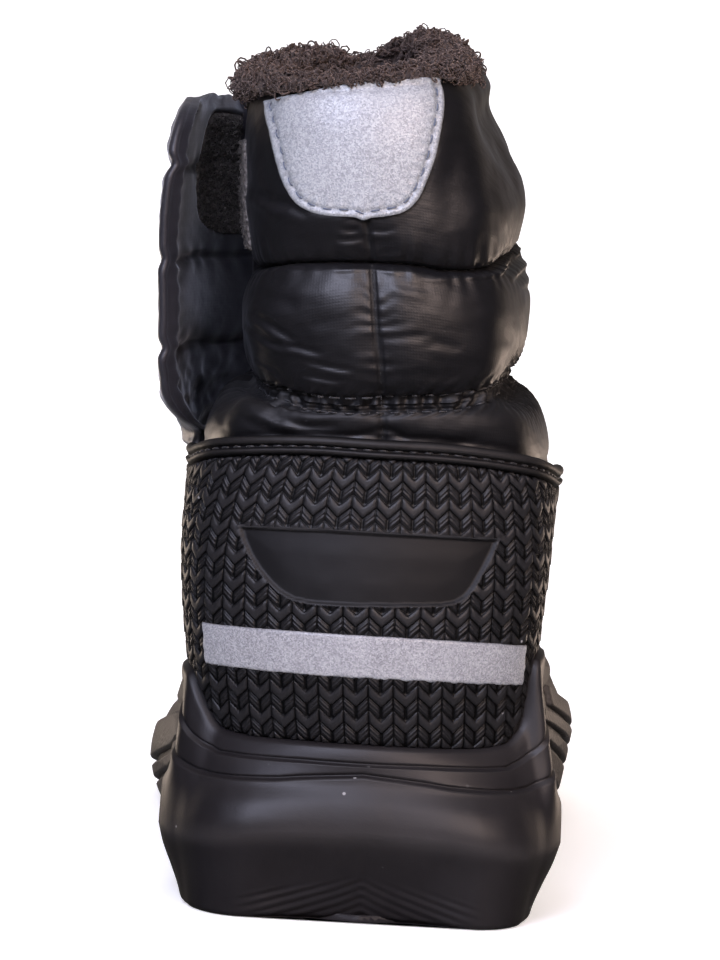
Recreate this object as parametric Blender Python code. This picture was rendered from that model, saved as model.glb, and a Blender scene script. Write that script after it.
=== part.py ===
"""Child's winter boot, left foot, at rest on its sole.

Millimetres in the tables, metres in the scene. +Y runs to the toe, +X to the wearer's right (the inner side of a left
boot) and +Z up. Stations are measured from the back of the heel and are moved to the origin, under the middle of the
boot's box, at the very end.

The upper is a stack of closed rings. A ring starts at the heel's back profile, ends at the toe, instep or shin profile,
and is followed by an angle: 0 at the back, 180 at the front, negative on the outer side and positive on the inner side.
"""

import math

import bmesh
import bpy
import numpy as np

MM = 0.001

# ---------------------------------------------------------------- named sizes, mm
SOLE_LENGTH = 212.0
ORIGIN_X = -1.0  # middle of the whole box, measured from the heel's centre line
ORIGIN_Y = SOLE_LENGTH / 2

HEEL_BACK = 6.5  # how far the upper's heel stands in from the back of the sole
TOE_TIP = 205.0
HEEL_HALF = 31.5  # upper's half width at the heel
BALL_HALF = 40.0  # upper's half width at the ball, down in the sole
QUARTER_HALF = 34.5  # half width over the ankle bones
RUCHE_HALF = 24.9  # half width where elastic draws the shaft in
SHAFT_HALF = 27.3
HEEL_SEAT = 25.0  # height of the footbed at the heel
INSTEP_HEIGHT = 87.0
COLLAR_BACK = 160.0
COLLAR_FRONT = 166.0
SHAFT_FRONT = 98.0

WALL_FOOT = 3.0  # upper's wall over the foot
WALL_SHAFT = 3.6  # quilted wall at a seam; a puff adds to it
GAP = 0.35  # between pieces that touch
CUP_GAP = 0.45  # between the upper and the sole round it
COUNTER_THICK = 2.0
BINDING_THICK = 2.9
TOE_CAP_THICK = 1.7
LIP_THICK = 3.2  # sole's cup wall at its top edge
PILE_DEPTH = 5.5

AROUND = 56  # points round the boot
PUFF = 3.4  # how far a quilted chamber swells

# ---------------------------------------------------------------- the upper's rings
# back, front: where the ring meets the two profiles (station, height).  sag: how far the ring dips at the ball.
# w30 to w150: half widths at those angles.  lean: shift of the ring's middle at the back and at the front.
# arch: share taken off the inner side at the waist.  outer: share of the width kept on the outer side of the shaft.
# tilt: rise across the boot, inner side up, where the shaft leans outwards.
RINGS = (
    # name      back                    front                       sag   w30              w60               w90                w120             w150   lean         arch  outer tilt
    ("hem",    (11.0, HEEL_SEAT),      (TOE_TIP - 5, 25.0),         11.0, HEEL_HALF - 4.5, HEEL_HALF - 2.0,  HEEL_HALF + 1.5,   BALL_HALF - 2,   25.0, (0.0, 3.0),  0.10, 1.00, 0.000),
    ("feather",(8.8, 37.0),            (TOE_TIP, 34.0),             11.0, HEEL_HALF - 3.0, HEEL_HALF - 1.2,  HEEL_HALF + 3.0,   BALL_HALF - 1,   28.0, (-1.2, 3.0), 0.10, 1.00, 0.000),
    ("wall",   (HEEL_BACK, 50.0),      (TOE_TIP - 1.5, 46.0),       8.0,  HEEL_HALF - 2.0, HEEL_HALF + 0.2,  HEEL_HALF + 1.6,   BALL_HALF - 6.4,  25.0, (-2.2, 2.6), 0.06, 1.00, 0.000),
    ("crown",  (HEEL_BACK, 60.0),      (TOE_TIP - 13, 58.0),        5.0,  HEEL_HALF - 1.2, HEEL_HALF + 1.2,  HEEL_HALF + 1.8,   BALL_HALF - 7,  20.0, (-2.6, 2.2), 0.03, 1.00, 0.000),
    ("vamp",   (7.4, 69.0),            (TOE_TIP - 35, 67.5),        2.0,  HEEL_HALF - 1.0, QUARTER_HALF - 0.8, QUARTER_HALF - 0.6, 31.0,          18.0, (-2.6, 1.5), 0.00, 1.00, 0.000),
    ("cone",   (8.6, 78.0),            (TOE_TIP - 59, 76.0),        0.0,  HEEL_HALF - 1.8, QUARTER_HALF,     QUARTER_HALF - 0.2, 29.0,           17.0, (-2.4, 0.8), 0.00, 1.00, 0.000),
    ("instep", (9.6, 87.0),            (TOE_TIP - 82, INSTEP_HEIGHT), 0.0, HEEL_HALF - 4.0, QUARTER_HALF - 0.8, QUARTER_HALF - 0.4, 27.5,         16.0, (-1.9, -0.4), 0.00, 1.00, 0.000),
    ("ankle",  (10.2, 95.5),           (109.0, 100.0),              0.0,  23.0,            QUARTER_HALF - 5.0, QUARTER_HALF - 4.2, 26.0,         15.0, (-1.6, -1.4), 0.00, 1.00, 0.020),
    ("ruche",  (10.4, 101.5),          (103.0, 107.0),              0.0,  19.0,            RUCHE_HALF - 1.6, RUCHE_HALF,        23.0,            13.5, (-2.0, -2.4), 0.00, 0.95, 0.060),
    ("seam",   (9.4, 127.0),           (99.5, 133.0),               0.0,  18.0,            SHAFT_HALF - 2.6, SHAFT_HALF,        24.5,            14.5, (-4.8, -5.4), 0.00, 0.86, 0.070),
    ("breast", (9.0, 147.5),           (99.0, 155.0),               0.0,  17.5,            SHAFT_HALF - 3.2, SHAFT_HALF - 1.0,  24.5,            14.5, (-7.7, -8.3), 0.00, 0.84, 0.100),
    ("collar", (9.6, COLLAR_BACK),     (SHAFT_FRONT, COLLAR_FRONT), 0.0,  17.0,            SHAFT_HALF - 3.6, SHAFT_HALF - 0.9,  24.0,            14.0, (-9.4, -10.0), 0.00, 0.84, 0.120),
)
RING = {row[0]: float(i) for i, row in enumerate(RINGS)}

# ---------------------------------------------------------------- the sole, by angle round its outline
# tuck: how far the ground edge stands in from the ridge.  ridge: height of the widest line.  lip: height of the cup's top edge.
# The two figures in each bracket are the outer side and the inner side.
SOLE_STATIONS = (
    # angle  tuck          ridge         lip
    (0,     (6.8, 6.8),   (17.4, 17.4), (34.0, 34.0)),
    (10,    (5.0, 5.0),   (16.9, 16.9), (34.0, 33.8)),
    (19,    (1.6, 1.8),   (15.6, 15.6), (33.8, 33.6)),
    (26,    (2.0, 2.4),   (14.4, 14.4), (34.4, 34.2)),
    (30,    (3.2, 3.8),   (13.8, 14.2), (38.8, 37.0)),
    (35,    (4.6, 5.0),   (13.6, 14.6), (44.6, 50.6)),
    (45,    (5.4, 5.8),   (14.5, 15.0), (45.4, 51.6)),
    (60,    (6.0, 6.4),   (15.5, 16.5), (43.6, 47.5)),
    (90,    (6.0, 6.5),   (13.0, 18.5), (35.5, 41.5)),
    (120,   (4.2, 6.4),   (9.4, 19.6),  (30.5, 36.0)),
    (150,   (5.5, 6.5),   (15.0, 20.5), (33.5, 36.5)),
    (180,   (7.0, 7.0),   (22.5, 22.5), (40.0, 40.0)),
)
REAR_SQUARE = ((0, 0.0), (4, 0.15), (7, 0.62), (10, 1.35), (14, 2.6), (18, 3.8), (21, 4.1), (24, 3.4), (27, 1.9), (30, 0.3), (34, 0.0), (180, 0.0))  # how much further back than round
SOLE_HALF = {"outer": (37.0, 39.4, 42.0, 48.6, 33.0), "inner": (36.0, 37.3, 36.5, 44.0, 33.0)}  # at 30, 60, 90, 120, 150
SOLE_TOE_SHIFT = 3.0
ARCH_RISE, ARCH_FROM, ARCH_TO = 4.5, 58.0, 106.0
TOE_SPRING, TOE_SPRING_FROM = 12.0, 164.0
TIERS = ((0.62, 0.9), (0.82, 0.9))  # share of the height from ridge to lip, and depth, of the two lines round the heel cup
CROSS_GROOVES = (20.0, 42.0, 118.0, 132.0, 146.0, 160.0, 174.0)  # stations
CROSS_WIDTH, CROSS_DEPTH = 4.0, 3.6
SIDE_GROOVES = (112.0, 126.0, 140.0, 154.0)  # stations where a side groove crosses the ridge
SIDE_WIDTH, SIDE_DEPTH, SIDE_RUN, SIDE_DIP = 2.6, 2.4, 26.0, 26.0  # the dip is in degrees, forward and down

# ---------------------------------------------------------------- the open flap
# Heights, with the flap's free edge and its root in plan, and the share of its length that is left under the round corner.
FLAP_ROWS = (
    # height  edge x, station   root x, station   kept
    (89.6,   (-39.0, 50.0),    (-34.8, 83.0),    0.90),
    (92.5,   (-40.6, 44.0),    (-33.2, 85.0),    0.97),
    (97.0,   (-42.4, 39.0),    (-32.0, 87.0),    1.00),
    (105.0,  (-43.9, 36.0),    (-30.0, 88.5),    1.00),
    (116.0,  (-44.3, 35.0),    (-29.4, 88.5),    1.00),
    (131.0,  (-44.8, 35.0),    (-31.6, 88.0),    1.00),
    (143.0,  (-44.2, 35.0),    (-33.8, 87.0),    1.00),
    (150.0,  (-43.2, 35.5),    (-34.6, 87.0),    0.96),
    (154.0,  (-42.0, 36.0),    (-34.8, 87.0),    0.84),
    (156.4,  (-41.0, 36.5),    (-34.9, 87.0),    0.62),
)
FLAP_THICK, FLAP_EDGE, FLAP_PUFF = 2.2, 1.6, 2.2
FLAP_SEAMS = (88.0, 107.0, 124.5, 143.5, 157.5)

# ---------------------------------------------------------------- overlays on the upper
COUNTER_ANGLE = 70.0
RECESS_TOP, RECESS_FOOT = (75.3, 25.3), (61.5, 14.4)  # height and half width of the plain recess on the counter
RECESS_SHIFT, RECESS_DEPTH = -2.2, 0.8
COUNTER_TOP_BACK, COUNTER_TOP_SIDE = 89.4, 83.6
BINDING_TALL = 3.3
TOE_CAP_ANGLE = 58.0  # each way from the front
TOE_CAP_RING = 2.7  # ring that the toe cap's edge reaches at the front


# ---------------------------------------------------------------- curves through tables
def column(name):
    """One named column of RINGS as an array."""
    take = {
        "back_y": lambda r: r[1][0], "back_z": lambda r: r[1][1], "front_y": lambda r: r[2][0], "front_z": lambda r: r[2][1],
        "sag": lambda r: r[3], "w30": lambda r: r[4], "w60": lambda r: r[5], "w90": lambda r: r[6], "w120": lambda r: r[7],
        "w150": lambda r: r[8], "lean_back": lambda r: r[9][0], "lean_front": lambda r: r[9][1], "arch": lambda r: r[10],
        "outer": lambda r: r[11], "tilt": lambda r: r[12],
    }[name]
    return np.array([take(row) for row in RINGS], float)


def spline(values, u):
    """A smooth curve through evenly spaced values, read at u."""
    values = np.asarray(values, float)
    u = np.asarray(u, float)
    i = np.clip(np.floor(u).astype(int), 0, len(values) - 2)
    t = u - i
    p = np.concatenate([[2 * values[0] - values[1]], values, [2 * values[-1] - values[-2]]])
    a, b, c, d = p[i], p[i + 1], p[i + 2], p[i + 3]
    return b + 0.5 * t * (c - a + t * (2 * a - 5 * b + 4 * c - d + t * (3 * (b - c) + d - a)))


def curve(xs, ys, x):
    """A smooth curve through unevenly spaced points that never overshoots them."""
    xs, ys, x = np.asarray(xs, float), np.asarray(ys, float), np.asarray(x, float)
    h = np.diff(xs)
    slope = np.diff(ys) / h
    m = np.zeros(len(xs))
    m[0], m[-1] = slope[0], slope[-1]
    for k in range(1, len(xs) - 1):
        if slope[k - 1] * slope[k] > 0:
            a, b = 2 * h[k] + h[k - 1], h[k] + 2 * h[k - 1]
            m[k] = (a + b) / (a / slope[k - 1] + b / slope[k])
    i = np.clip(np.searchsorted(xs, x, side="right") - 1, 0, len(xs) - 2)
    t = np.clip((x - xs[i]) / h[i], 0, 1)
    return ((2 * t**3 - 3 * t**2 + 1) * ys[i] + (t**3 - 2 * t**2 + t) * h[i] * m[i]
            + (3 * t**2 - 2 * t**3) * ys[i + 1] + (t**3 - t**2) * h[i] * m[i + 1])


def half_width(angle, widths):
    """Half width at an angle (degrees, 0 to 180) through widths at 30, 60, 90, 120 and 150, round at both ends."""
    zero = np.zeros_like(widths[0])
    knots = [-widths[0], zero, *widths, zero, -widths[4]]
    u = np.clip(np.abs(angle) / 30.0, 0, 6)
    i = np.clip(np.floor(u).astype(int), 0, 5)
    t = u - i
    stack = np.stack([np.broadcast_to(k, u.shape) for k in knots])
    a, b, c, d = (np.take_along_axis(stack, (i + k)[None], 0)[0] for k in range(4))
    return b + 0.5 * t * (c - a + t * (2 * a - 5 * b + 4 * c - d + t * (3 * (b - c) + d - a)))


def step(low, high, x):
    t = np.clip((np.asarray(x, float) - low) / (high - low), 0, 1)
    return t * t * (3 - 2 * t)


# ---------------------------------------------------------------- the upper's own function
def base(angle, u):
    """The upper's outer skin without its padding, at an angle and a ring number."""
    angle, u = np.broadcast_arrays(np.asarray(angle, float), np.asarray(u, float))
    s = (1 - np.cos(np.radians(angle))) / 2
    inner = angle > 0
    half = half_width(angle, [spline(column(w), u) for w in ("w30", "w60", "w90", "w120", "w150")])
    waist = np.exp(-(((s - 0.42) / 0.17) ** 2))
    half = np.where(inner, half * (1 - spline(column("arch"), u) * waist), half * spline(column("outer"), u))
    dip = s**2.1 * (1 - s) / 0.1424
    back_y, front_y = spline(column("back_y"), u), spline(column("front_y"), u)
    back_z, front_z = spline(column("back_z"), u), spline(column("front_z"), u)
    lean = spline(column("lean_back"), u) * (1 - s**2) + spline(column("lean_front"), u) * s**2
    x = lean + np.where(inner, half, -half)
    y = back_y + (front_y - back_y) * s
    z = back_z + (front_z - back_z) * s - spline(column("sag"), u) * dip + spline(column("tilt"), u) * (x - lean)
    return np.stack([x, y, z], -1)


def outward(angle, u):
    """Unit normal of the skin, pointing out of the boot."""
    angle, u = np.broadcast_arrays(np.asarray(angle, float), np.asarray(u, float))
    top = len(RINGS) - 1
    du = base(angle, np.minimum(u + 0.02, top)) - base(angle, np.maximum(u - 0.02, 0))
    da = base(angle + 0.5, u) - base(angle - 0.5, u)
    n = np.cross(da, du)
    n[..., 2] *= step(0.0, 0.9, u)  # the hem is cut square, so that it stands flat in the sole
    return n / np.linalg.norm(n, axis=-1, keepdims=True)


def padding(angle, u):
    """How far the quilting swells from the skin: three chambers between the collar, two seams and the counter's top."""
    foot = RING["instep"] + 0.8 - 0.62 * step(8, 62, np.abs(angle))  # just over the counter's binding
    seams = (foot, RING["ruche"], RING["seam"], RING["collar"])
    swell = (0.5, 1.4, 0.85)
    fullest = (0.5, 0.5, 0.34)  # where up its height each chamber is fullest
    out = np.zeros(np.broadcast(angle, u).shape)
    for low, high, much, peak in zip(seams, seams[1:], swell, fullest):
        t = np.clip((u - low) / (high - low), 0, 1) ** (math.log(0.5) / math.log(peak))
        out = out + PUFF * much * (4 * t * (1 - t)) ** 0.6
    # the folded-in gusset on the outer side, under the flap, has no padding
    gusset = step(-150, -140, angle) * (1 - step(-72, -62, angle))
    return out * (1 - gusset * step(RING["ankle"], RING["ruche"], u))


def skin(angle, u, offset=0.0, padded=False):
    """A point of the boot at an offset from the upper's skin."""
    far = offset + (padding(angle, u) if padded else 0.0)
    return base(angle, u) + outward(angle, u) * np.asarray(far)[..., None]


def ring_at(angle, height, low=0.0, high=None):
    """The ring number at which the skin reaches a height."""
    angle, height = np.broadcast_arrays(np.asarray(angle, float), np.asarray(height, float))
    low = np.full(angle.shape, low)
    high = np.full(angle.shape, len(RINGS) - 1.0 if high is None else high)
    for _ in range(30):
        middle = (low + high) / 2
        above = base(angle, middle)[..., 2] > height
        low, high = np.where(above, low, middle), np.where(above, middle, high)
    return (low + high) / 2


def angle_at(x, height):
    """The angle near the back at which the skin reaches a place across, at a height."""
    x, height = np.broadcast_arrays(np.asarray(x, float), np.asarray(height, float))
    low, high = np.full(x.shape, -70.0), np.full(x.shape, 70.0)
    for _ in range(24):
        middle = (low + high) / 2
        beyond = base(middle, ring_at(middle, height))[..., 0] > x
        low, high = np.where(beyond, low, middle), np.where(beyond, middle, high)
    return (low + high) / 2


# ---------------------------------------------------------------- the sole's own functions
def ground(station):
    """Height of the sole's underside: flat under heel and ball, lifted at the arch and the toe."""
    t = np.clip((station - ARCH_FROM) / (ARCH_TO - ARCH_FROM), 0, 1)
    arch = ARCH_RISE * np.sin(np.pi * t) ** 2
    toe = TOE_SPRING * (np.clip(station - TOE_SPRING_FROM, 0, None) / (SOLE_LENGTH - TOE_SPRING_FROM)) ** 2
    return arch + toe


def outline(angle):
    """The sole's widest line in plan."""
    angle = np.asarray(angle, float)
    s = (1 - np.cos(np.radians(angle))) / 2
    outer = half_width(angle, [np.float64(w) for w in SOLE_HALF["outer"]])
    inner = half_width(angle, [np.float64(w) for w in SOLE_HALF["inner"]])
    square = curve([row[0] for row in REAR_SQUARE], [row[1] for row in REAR_SQUARE], np.abs(angle))
    return np.stack([SOLE_TOE_SHIFT * s**2 + np.where(angle > 0, inner, -outer), SOLE_LENGTH * s - square], -1)


def outline_normal(angle):
    d = outline(angle + 0.5) - outline(angle - 0.5)
    n = np.stack([d[..., 1], -d[..., 0]], -1)
    return n / np.linalg.norm(n, axis=-1, keepdims=True)


def sole_column(index, angle):
    angles = [row[0] for row in SOLE_STATIONS]
    outer = curve(angles, [row[index][0] for row in SOLE_STATIONS], np.abs(angle))
    inner = curve(angles, [row[index][1] for row in SOLE_STATIONS], np.abs(angle))
    return np.where(angle > 0, inner, outer)


def sole_rings(angle):
    """The sole's closed skin as rings, from the ground edge over the ridge and lip down to the cup's floor."""
    edge, normal = outline(angle), outline_normal(angle)
    tuck, ridge, lip = (sole_column(k, angle) for k in (1, 2, 3))
    back = 1 - step(18, 42, np.abs(angle))
    floor_z = ground(edge[:, 1])
    rings = []

    def add(inset, z):
        rings.append(np.concatenate([edge - normal * inset[:, None], z[:, None]], 1))

    # below the ridge: rounded at the sides, swept under at the back
    for share, side, rear in ((0.0, 1.0, 1.0), (0.14, 0.52, 0.85), (0.6, 0.18, 0.5), (1.0, 0.0, 0.0)):
        inset = tuck * (side * (1 - back) + rear * back)
        if share == 0.0:
            # the ground edge follows the underside where it stands, not where the ridge does
            where = (edge - normal * inset[:, None])[:, 1]
            add(inset, ground(where))
        else:
            add(inset, floor_z + (ridge - floor_z) * share if share < 1 else ridge)
    # above the ridge: a bellied wall that closes on the upper, with two lines round the heel cup
    lip_ring = ring_at(angle, lip)
    lip_out = skin(angle, lip_ring, CUP_GAP + LIP_THICK)
    heel = 1 - step(50, 75, np.abs(angle))
    ridge_point = rings[-1]
    shares = [0.12, 0.34]
    for at, _ in TIERS:
        shares += [at - 0.03, at, at + 0.03]
    for share in shares + [0.97, 1.0]:
        lean = curve((0, 0.12, 0.34, 0.58, 1.0), (0, 0.02, 0.16, 0.5, 1.0), share)
        point = ridge_point * (1 - lean) + lip_out * lean
        point[:, 2] = ridge_point[:, 2] * (1 - share) + lip_out[:, 2] * share
        for at, deep in TIERS:
            if share == at:
                point[:, :2] -= normal * (deep * heel)[:, None]
        if share == 1.0:
            point[:, :2] -= normal * 0.5
        rings.append(point)
    # down the inside of the cup
    for share in (1.0, 0.75, 0.5, 0.25, 0.0):
        rings.append(skin(angle, lip_ring * share, CUP_GAP))
    rings[-1] = rings[-1] - np.array([0, 0, GAP])
    return rings


# ---------------------------------------------------------------- meshes
def clear_scene():
    for obj in list(bpy.data.objects):
        bpy.data.objects.remove(obj, do_unlink=True)
    for block in (bpy.data.meshes, bpy.data.curves, bpy.data.materials):
        for item in list(block):
            block.remove(item)


def collection(name):
    found = bpy.data.collections.new(name)
    bpy.context.scene.collection.children.link(found)
    return found


def material(name, colour, roughness, metallic=0.0):
    made = bpy.data.materials.new(name)
    made.use_nodes = True
    shader = made.node_tree.nodes["Principled BSDF"]
    shader.inputs["Base Color"].default_value = (*colour, 1.0)
    shader.inputs["Roughness"].default_value = roughness
    shader.inputs["Metallic"].default_value = metallic
    return made


def to_scene(points):
    points = np.asarray(points, float) - np.array([ORIGIN_X, ORIGIN_Y, 0.0])
    return points * MM


def make(name, points, faces, parts, finish):
    mesh = bpy.data.meshes.new(name)
    bm = bmesh.new()
    verts = [bm.verts.new(p) for p in to_scene(points)]
    for face in faces:
        bm.faces.new([verts[i] for i in face])
    bmesh.ops.recalc_face_normals(bm, faces=bm.faces)
    bm.to_mesh(mesh)
    bm.free()
    mesh.shade_smooth()
    mesh.set_sharp_from_angle(angle=math.radians(35))
    obj = bpy.data.objects.new(name, mesh)
    obj.data.materials.append(finish)
    parts.objects.link(obj)
    return obj


def band(rows, n, closed, first=0):
    """Quads between rings of n points each."""
    faces = []
    for j in range(rows - 1):
        for i in range(n if closed else n - 1):
            k = (i + 1) % n
            a, b = first + j * n, first + (j + 1) * n
            faces.append((a + i, a + k, b + k, b + i))
    return faces


def ladder(n, first):
    """Closes a ring of n points, an even number from the back, with straight rungs from side to side."""
    faces = []
    half = n // 2
    for i in range(half):
        a, b, c, d = i, (i + 1) % n, (n - i - 1) % n, (n - i) % n
        ring = []
        for k in (a, b, c, d):
            if first + k not in ring:
                ring.append(first + k)
        faces.append(tuple(ring))
    return faces


def tube(name, rings, parts, finish):
    """A solid whose skin is a closed belt of rings, such as a wall with an inside and an outside."""
    n = len(rings[0])
    faces = band(len(rings), n, True)
    last = (len(rings) - 1) * n
    for i in range(n):
        k = (i + 1) % n
        faces.append((last + i, last + k, k, i))
    return make(name, np.concatenate(rings), faces, parts, finish)


def slab(name, outer, inner, parts, finish):
    """A solid between two open grids of the same size."""
    rows, cols = outer.shape[:2]
    points = np.concatenate([outer.reshape(-1, 3), inner.reshape(-1, 3)])
    far = rows * cols
    faces = band(rows, cols, False) + band(rows, cols, False, far)
    for i in range(cols - 1):
        for j in (0, rows - 1):
            a, b = j * cols + i, j * cols + i + 1
            faces.append((a, b, far + b, far + a))
    for j in range(rows - 1):
        for i in (0, cols - 1):
            a, b = j * cols + i, (j + 1) * cols + i
            faces.append((a, b, far + b, far + a))
    return make(name, points, faces, parts, finish)


def full_circle():
    """Angles round the boot, closer together at the heel and toe, starting at the back and going by the inner side."""
    half = np.linspace(0, 180, AROUND // 2 + 1)
    return np.concatenate([half, -half[-2:0:-1]])


# ---------------------------------------------------------------- pieces
def build_upper(parts, finish):
    angle = full_circle()
    foot = list(np.linspace(0, RING["instep"], 12))
    low = list(np.linspace(RING["instep"], RING["ruche"], 6))[1:]
    puff = [0.06, 0.22, 0.42, 0.62, 0.82, 0.95, 1.0]
    middle = [RING["ruche"] + t * (RING["seam"] - RING["ruche"]) for t in puff]
    top = [RING["seam"] + t * (RING["collar"] - RING["seam"]) for t in puff]
    levels = foot + low + middle + top
    rings = [skin(angle, np.full(angle.shape, u), 0.0, True) for u in levels]
    inside = foot[::2] + low[1::2] + middle[2::3] + top[2::3]
    if inside[-1] != levels[-1]:
        inside.append(levels[-1])
    wall = lambda u: WALL_FOOT + (WALL_SHAFT - WALL_FOOT) * step(RING["instep"], RING["ruche"], u)
    for u in reversed(inside):
        rings.append(skin(angle, np.full(angle.shape, u), -wall(u)))
    return tube("upper", rings, parts, finish)


def build_sole(parts, helpers, finish):
    angle = full_circle()
    rings = sole_rings(angle)
    n = len(angle)
    faces = band(len(rings), n, True) + ladder(n, 0) + ladder(n, (len(rings) - 1) * n)
    sole = make("outsole", np.concatenate(rings), faces, parts, finish)
    number = 0

    def cut(size, place, turn):
        nonlocal number
        bpy.ops.mesh.primitive_cube_add(size=1)
        box = bpy.context.object
        box.name = f"groove_cutter_{number:02d}"
        number += 1
        for made in list(box.users_collection):
            made.objects.unlink(box)
        helpers.objects.link(box)
        for vertex in box.data.vertices:
            vertex.co = [vertex.co[k] * size[k] * MM for k in range(3)]
        box.location = to_scene(place)
        box.rotation_euler = turn
        box.hide_render = True
        box.display_type = "WIRE"
        groove = sole.modifiers.new(box.name, "BOOLEAN")
        groove.operation = "DIFFERENCE"
        groove.solver = "EXACT"
        groove.object = box

    for station in CROSS_GROOVES:
        tall = 2 * (CROSS_DEPTH + ground(np.float64(station)))
        cut((120, CROSS_WIDTH, tall), (0, station, 0), (0, 0, 0))
    for sign in (-1, 1):
        for station in SIDE_GROOVES:
            angles = np.linspace(60, 160, 400) * sign
            a = angles[np.argmin(np.abs(outline(angles)[:, 1] - station))]
            edge, normal = outline(a), outline_normal(a)
            height = sole_column(2, np.array([a]))[0] + 3.5
            at = edge - normal * 0.6
            heading = math.atan2(normal[1], normal[0]) - (0 if sign > 0 else math.pi)
            cut((2 * SIDE_DEPTH, SIDE_RUN, SIDE_WIDTH), (at[0], at[1], height), (math.radians(-SIDE_DIP), 0, heading))
    return sole


def build_insole(parts, finish):
    angle = full_circle()
    low = skin(angle, np.zeros(angle.shape), -(WALL_FOOT + 0.5))
    high = low + np.array([0, 0, 4.0])
    rings = [low, high]
    n = len(angle)
    faces = band(2, n, True) + ladder(n, 0) + ladder(n, n)
    return make("insole", np.concatenate(rings), faces, parts, finish)


def counter_top(angle):
    """Height of the counter's upper edge: highest at the back seam."""
    return COUNTER_TOP_BACK + (COUNTER_TOP_SIDE - COUNTER_TOP_BACK) * step(8, 62, np.abs(angle))


def patch_angles(reach):
    """The upper's own angles inside a reach from the back, with the reach itself at both ends."""
    every = full_circle()
    inside = sorted(a for a in every if abs(a) < reach - 1)
    return np.array([-reach, *inside, reach])


def build_counter(parts, helpers, finish):
    angle = patch_angles(COUNTER_ANGLE)
    low = ring_at(angle, sole_column(3, angle) + GAP + 0.1)
    high = ring_at(angle, counter_top(angle))
    shares = np.linspace(0, 1, 11)[:, None]
    u = low + (high - low) * shares
    a = np.broadcast_to(angle, u.shape)
    counter = slab("heel_counter", skin(a, u, GAP + COUNTER_THICK), skin(a, u, GAP), parts, finish)
    share = np.linspace(0, 1, 8) ** 1.8
    heights = RECESS_FOOT[0] + (RECESS_TOP[0] - RECESS_FOOT[0]) * share
    half = RECESS_FOOT[1] + (RECESS_TOP[1] - RECESS_FOOT[1]) * share**0.5
    reach = np.linspace(-1, 1, 13)[None, :] * half[:, None]
    a = angle_at(RECESS_SHIFT + reach, heights[:, None])
    u = ring_at(a, heights[:, None] + 0 * a)
    cutter = slab("recess_cutter", skin(a, u, GAP + COUNTER_THICK + 3), skin(a, u, GAP + COUNTER_THICK - RECESS_DEPTH), helpers, finish)
    cutter.hide_render = True
    cutter.display_type = "WIRE"
    recess = counter.modifiers.new("recess", "BOOLEAN")
    recess.operation, recess.solver, recess.object = "DIFFERENCE", "EXACT", cutter
    return counter


def build_binding(parts, finish):
    angle = patch_angles(COUNTER_ANGLE)
    low = counter_top(angle) + GAP
    rows_out, rows_in = [], []
    for share, bulge in ((0.0, 0.72), (0.25, 1.0), (0.75, 1.0), (1.0, 0.6)):
        u = ring_at(angle, low + BINDING_TALL * share)
        swell = padding(angle, u)
        rows_out.append(skin(angle, u, GAP + BINDING_THICK * bulge + 0.25))
        rows_in.append(skin(angle, u, GAP + swell + 0.05))
    return slab("counter_binding", np.array(rows_out), np.array(rows_in), parts, finish)


def build_toe_cap(parts, finish):
    reach = TOE_CAP_ANGLE
    every = full_circle()
    inside = sorted((a % 360 for a in every if abs(abs(a) - 180) < reach - 1))
    turn = np.array([180 - reach, *inside, 180 + reach])
    angle = np.where(turn > 180, turn - 360, turn)
    low = ring_at(angle, sole_column(3, angle) + GAP + 0.1, 0.0, 3.0)
    edge = TOE_CAP_RING - (TOE_CAP_RING - low - 0.25) * step(0.25, 1.0, np.abs(turn - 180) / reach)
    shares = np.linspace(0, 1, 8)[:, None]
    u = low + (edge - low) * shares
    a = np.broadcast_to(angle, u.shape)
    return slab("toe_cap", skin(a, u, GAP + TOE_CAP_THICK), skin(a, u, GAP), parts, finish)


def flap_point(t, height, offset):
    """The flap's middle surface at a share of its length from the root, moved outwards by an offset."""
    heights = [row[0] for row in FLAP_ROWS]
    edge_x, edge_y, root_x, root_y, kept = (curve(heights, [pick(r) for r in FLAP_ROWS], height) for pick in (
        lambda r: r[1][0], lambda r: r[1][1], lambda r: r[2][0], lambda r: r[2][1], lambda r: r[3]))
    t = t * kept
    along_x, along_y = edge_x - root_x, edge_y - root_y
    length = np.hypot(along_x, along_y)
    nx, ny = along_y / length, -along_x / length
    bow = 3.4 * np.sin(np.pi * np.clip(t, 0, 1))
    x = root_x + along_x * t + nx * (bow + offset)
    y = root_y + along_y * t + ny * (bow + offset)
    return np.stack([x, y, np.broadcast_to(height, x.shape)], -1)


def build_flap(parts, finish):
    shares = np.array([0.0, 0.06, 0.2, 0.38, 0.56, 0.74, 0.88, 0.96, 1.0])
    heights = []
    for low, high in zip(FLAP_SEAMS, FLAP_SEAMS[1:]):
        heights += [low + (high - low) * s for s in (0.05, 0.22, 0.5, 0.78, 0.95)]
    heights = np.array([FLAP_ROWS[0][0]] + [h for h in heights if FLAP_ROWS[0][0] + 0.6 < h < FLAP_ROWS[-1][0] - 0.6] + [FLAP_ROWS[-1][0]])
    t, z = np.meshgrid(shares, heights)
    swell = np.zeros(z.shape)
    for low, high in zip(FLAP_SEAMS, FLAP_SEAMS[1:]):
        s = np.clip((z - low) / (high - low), 0, 1)
        swell += FLAP_PUFF * (4 * s * (1 - s)) ** 0.6
    border = np.minimum(step(0, 0.1, t), 1 - step(0.86, 1.0, t))
    border = np.minimum(border, np.minimum(step(FLAP_ROWS[0][0] - 0.5, FLAP_ROWS[0][0] + 4, z), 1 - step(153, 157, z)))
    half_out = FLAP_EDGE / 2 + (FLAP_THICK / 2 - FLAP_EDGE / 2 + swell) * border
    half_in = FLAP_EDGE / 2 + (FLAP_THICK / 2 - FLAP_EDGE / 2 + 0.35 * swell) * border
    return slab("flap", flap_point(t, z, half_out), flap_point(t, z, -half_in), parts, finish)


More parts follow.
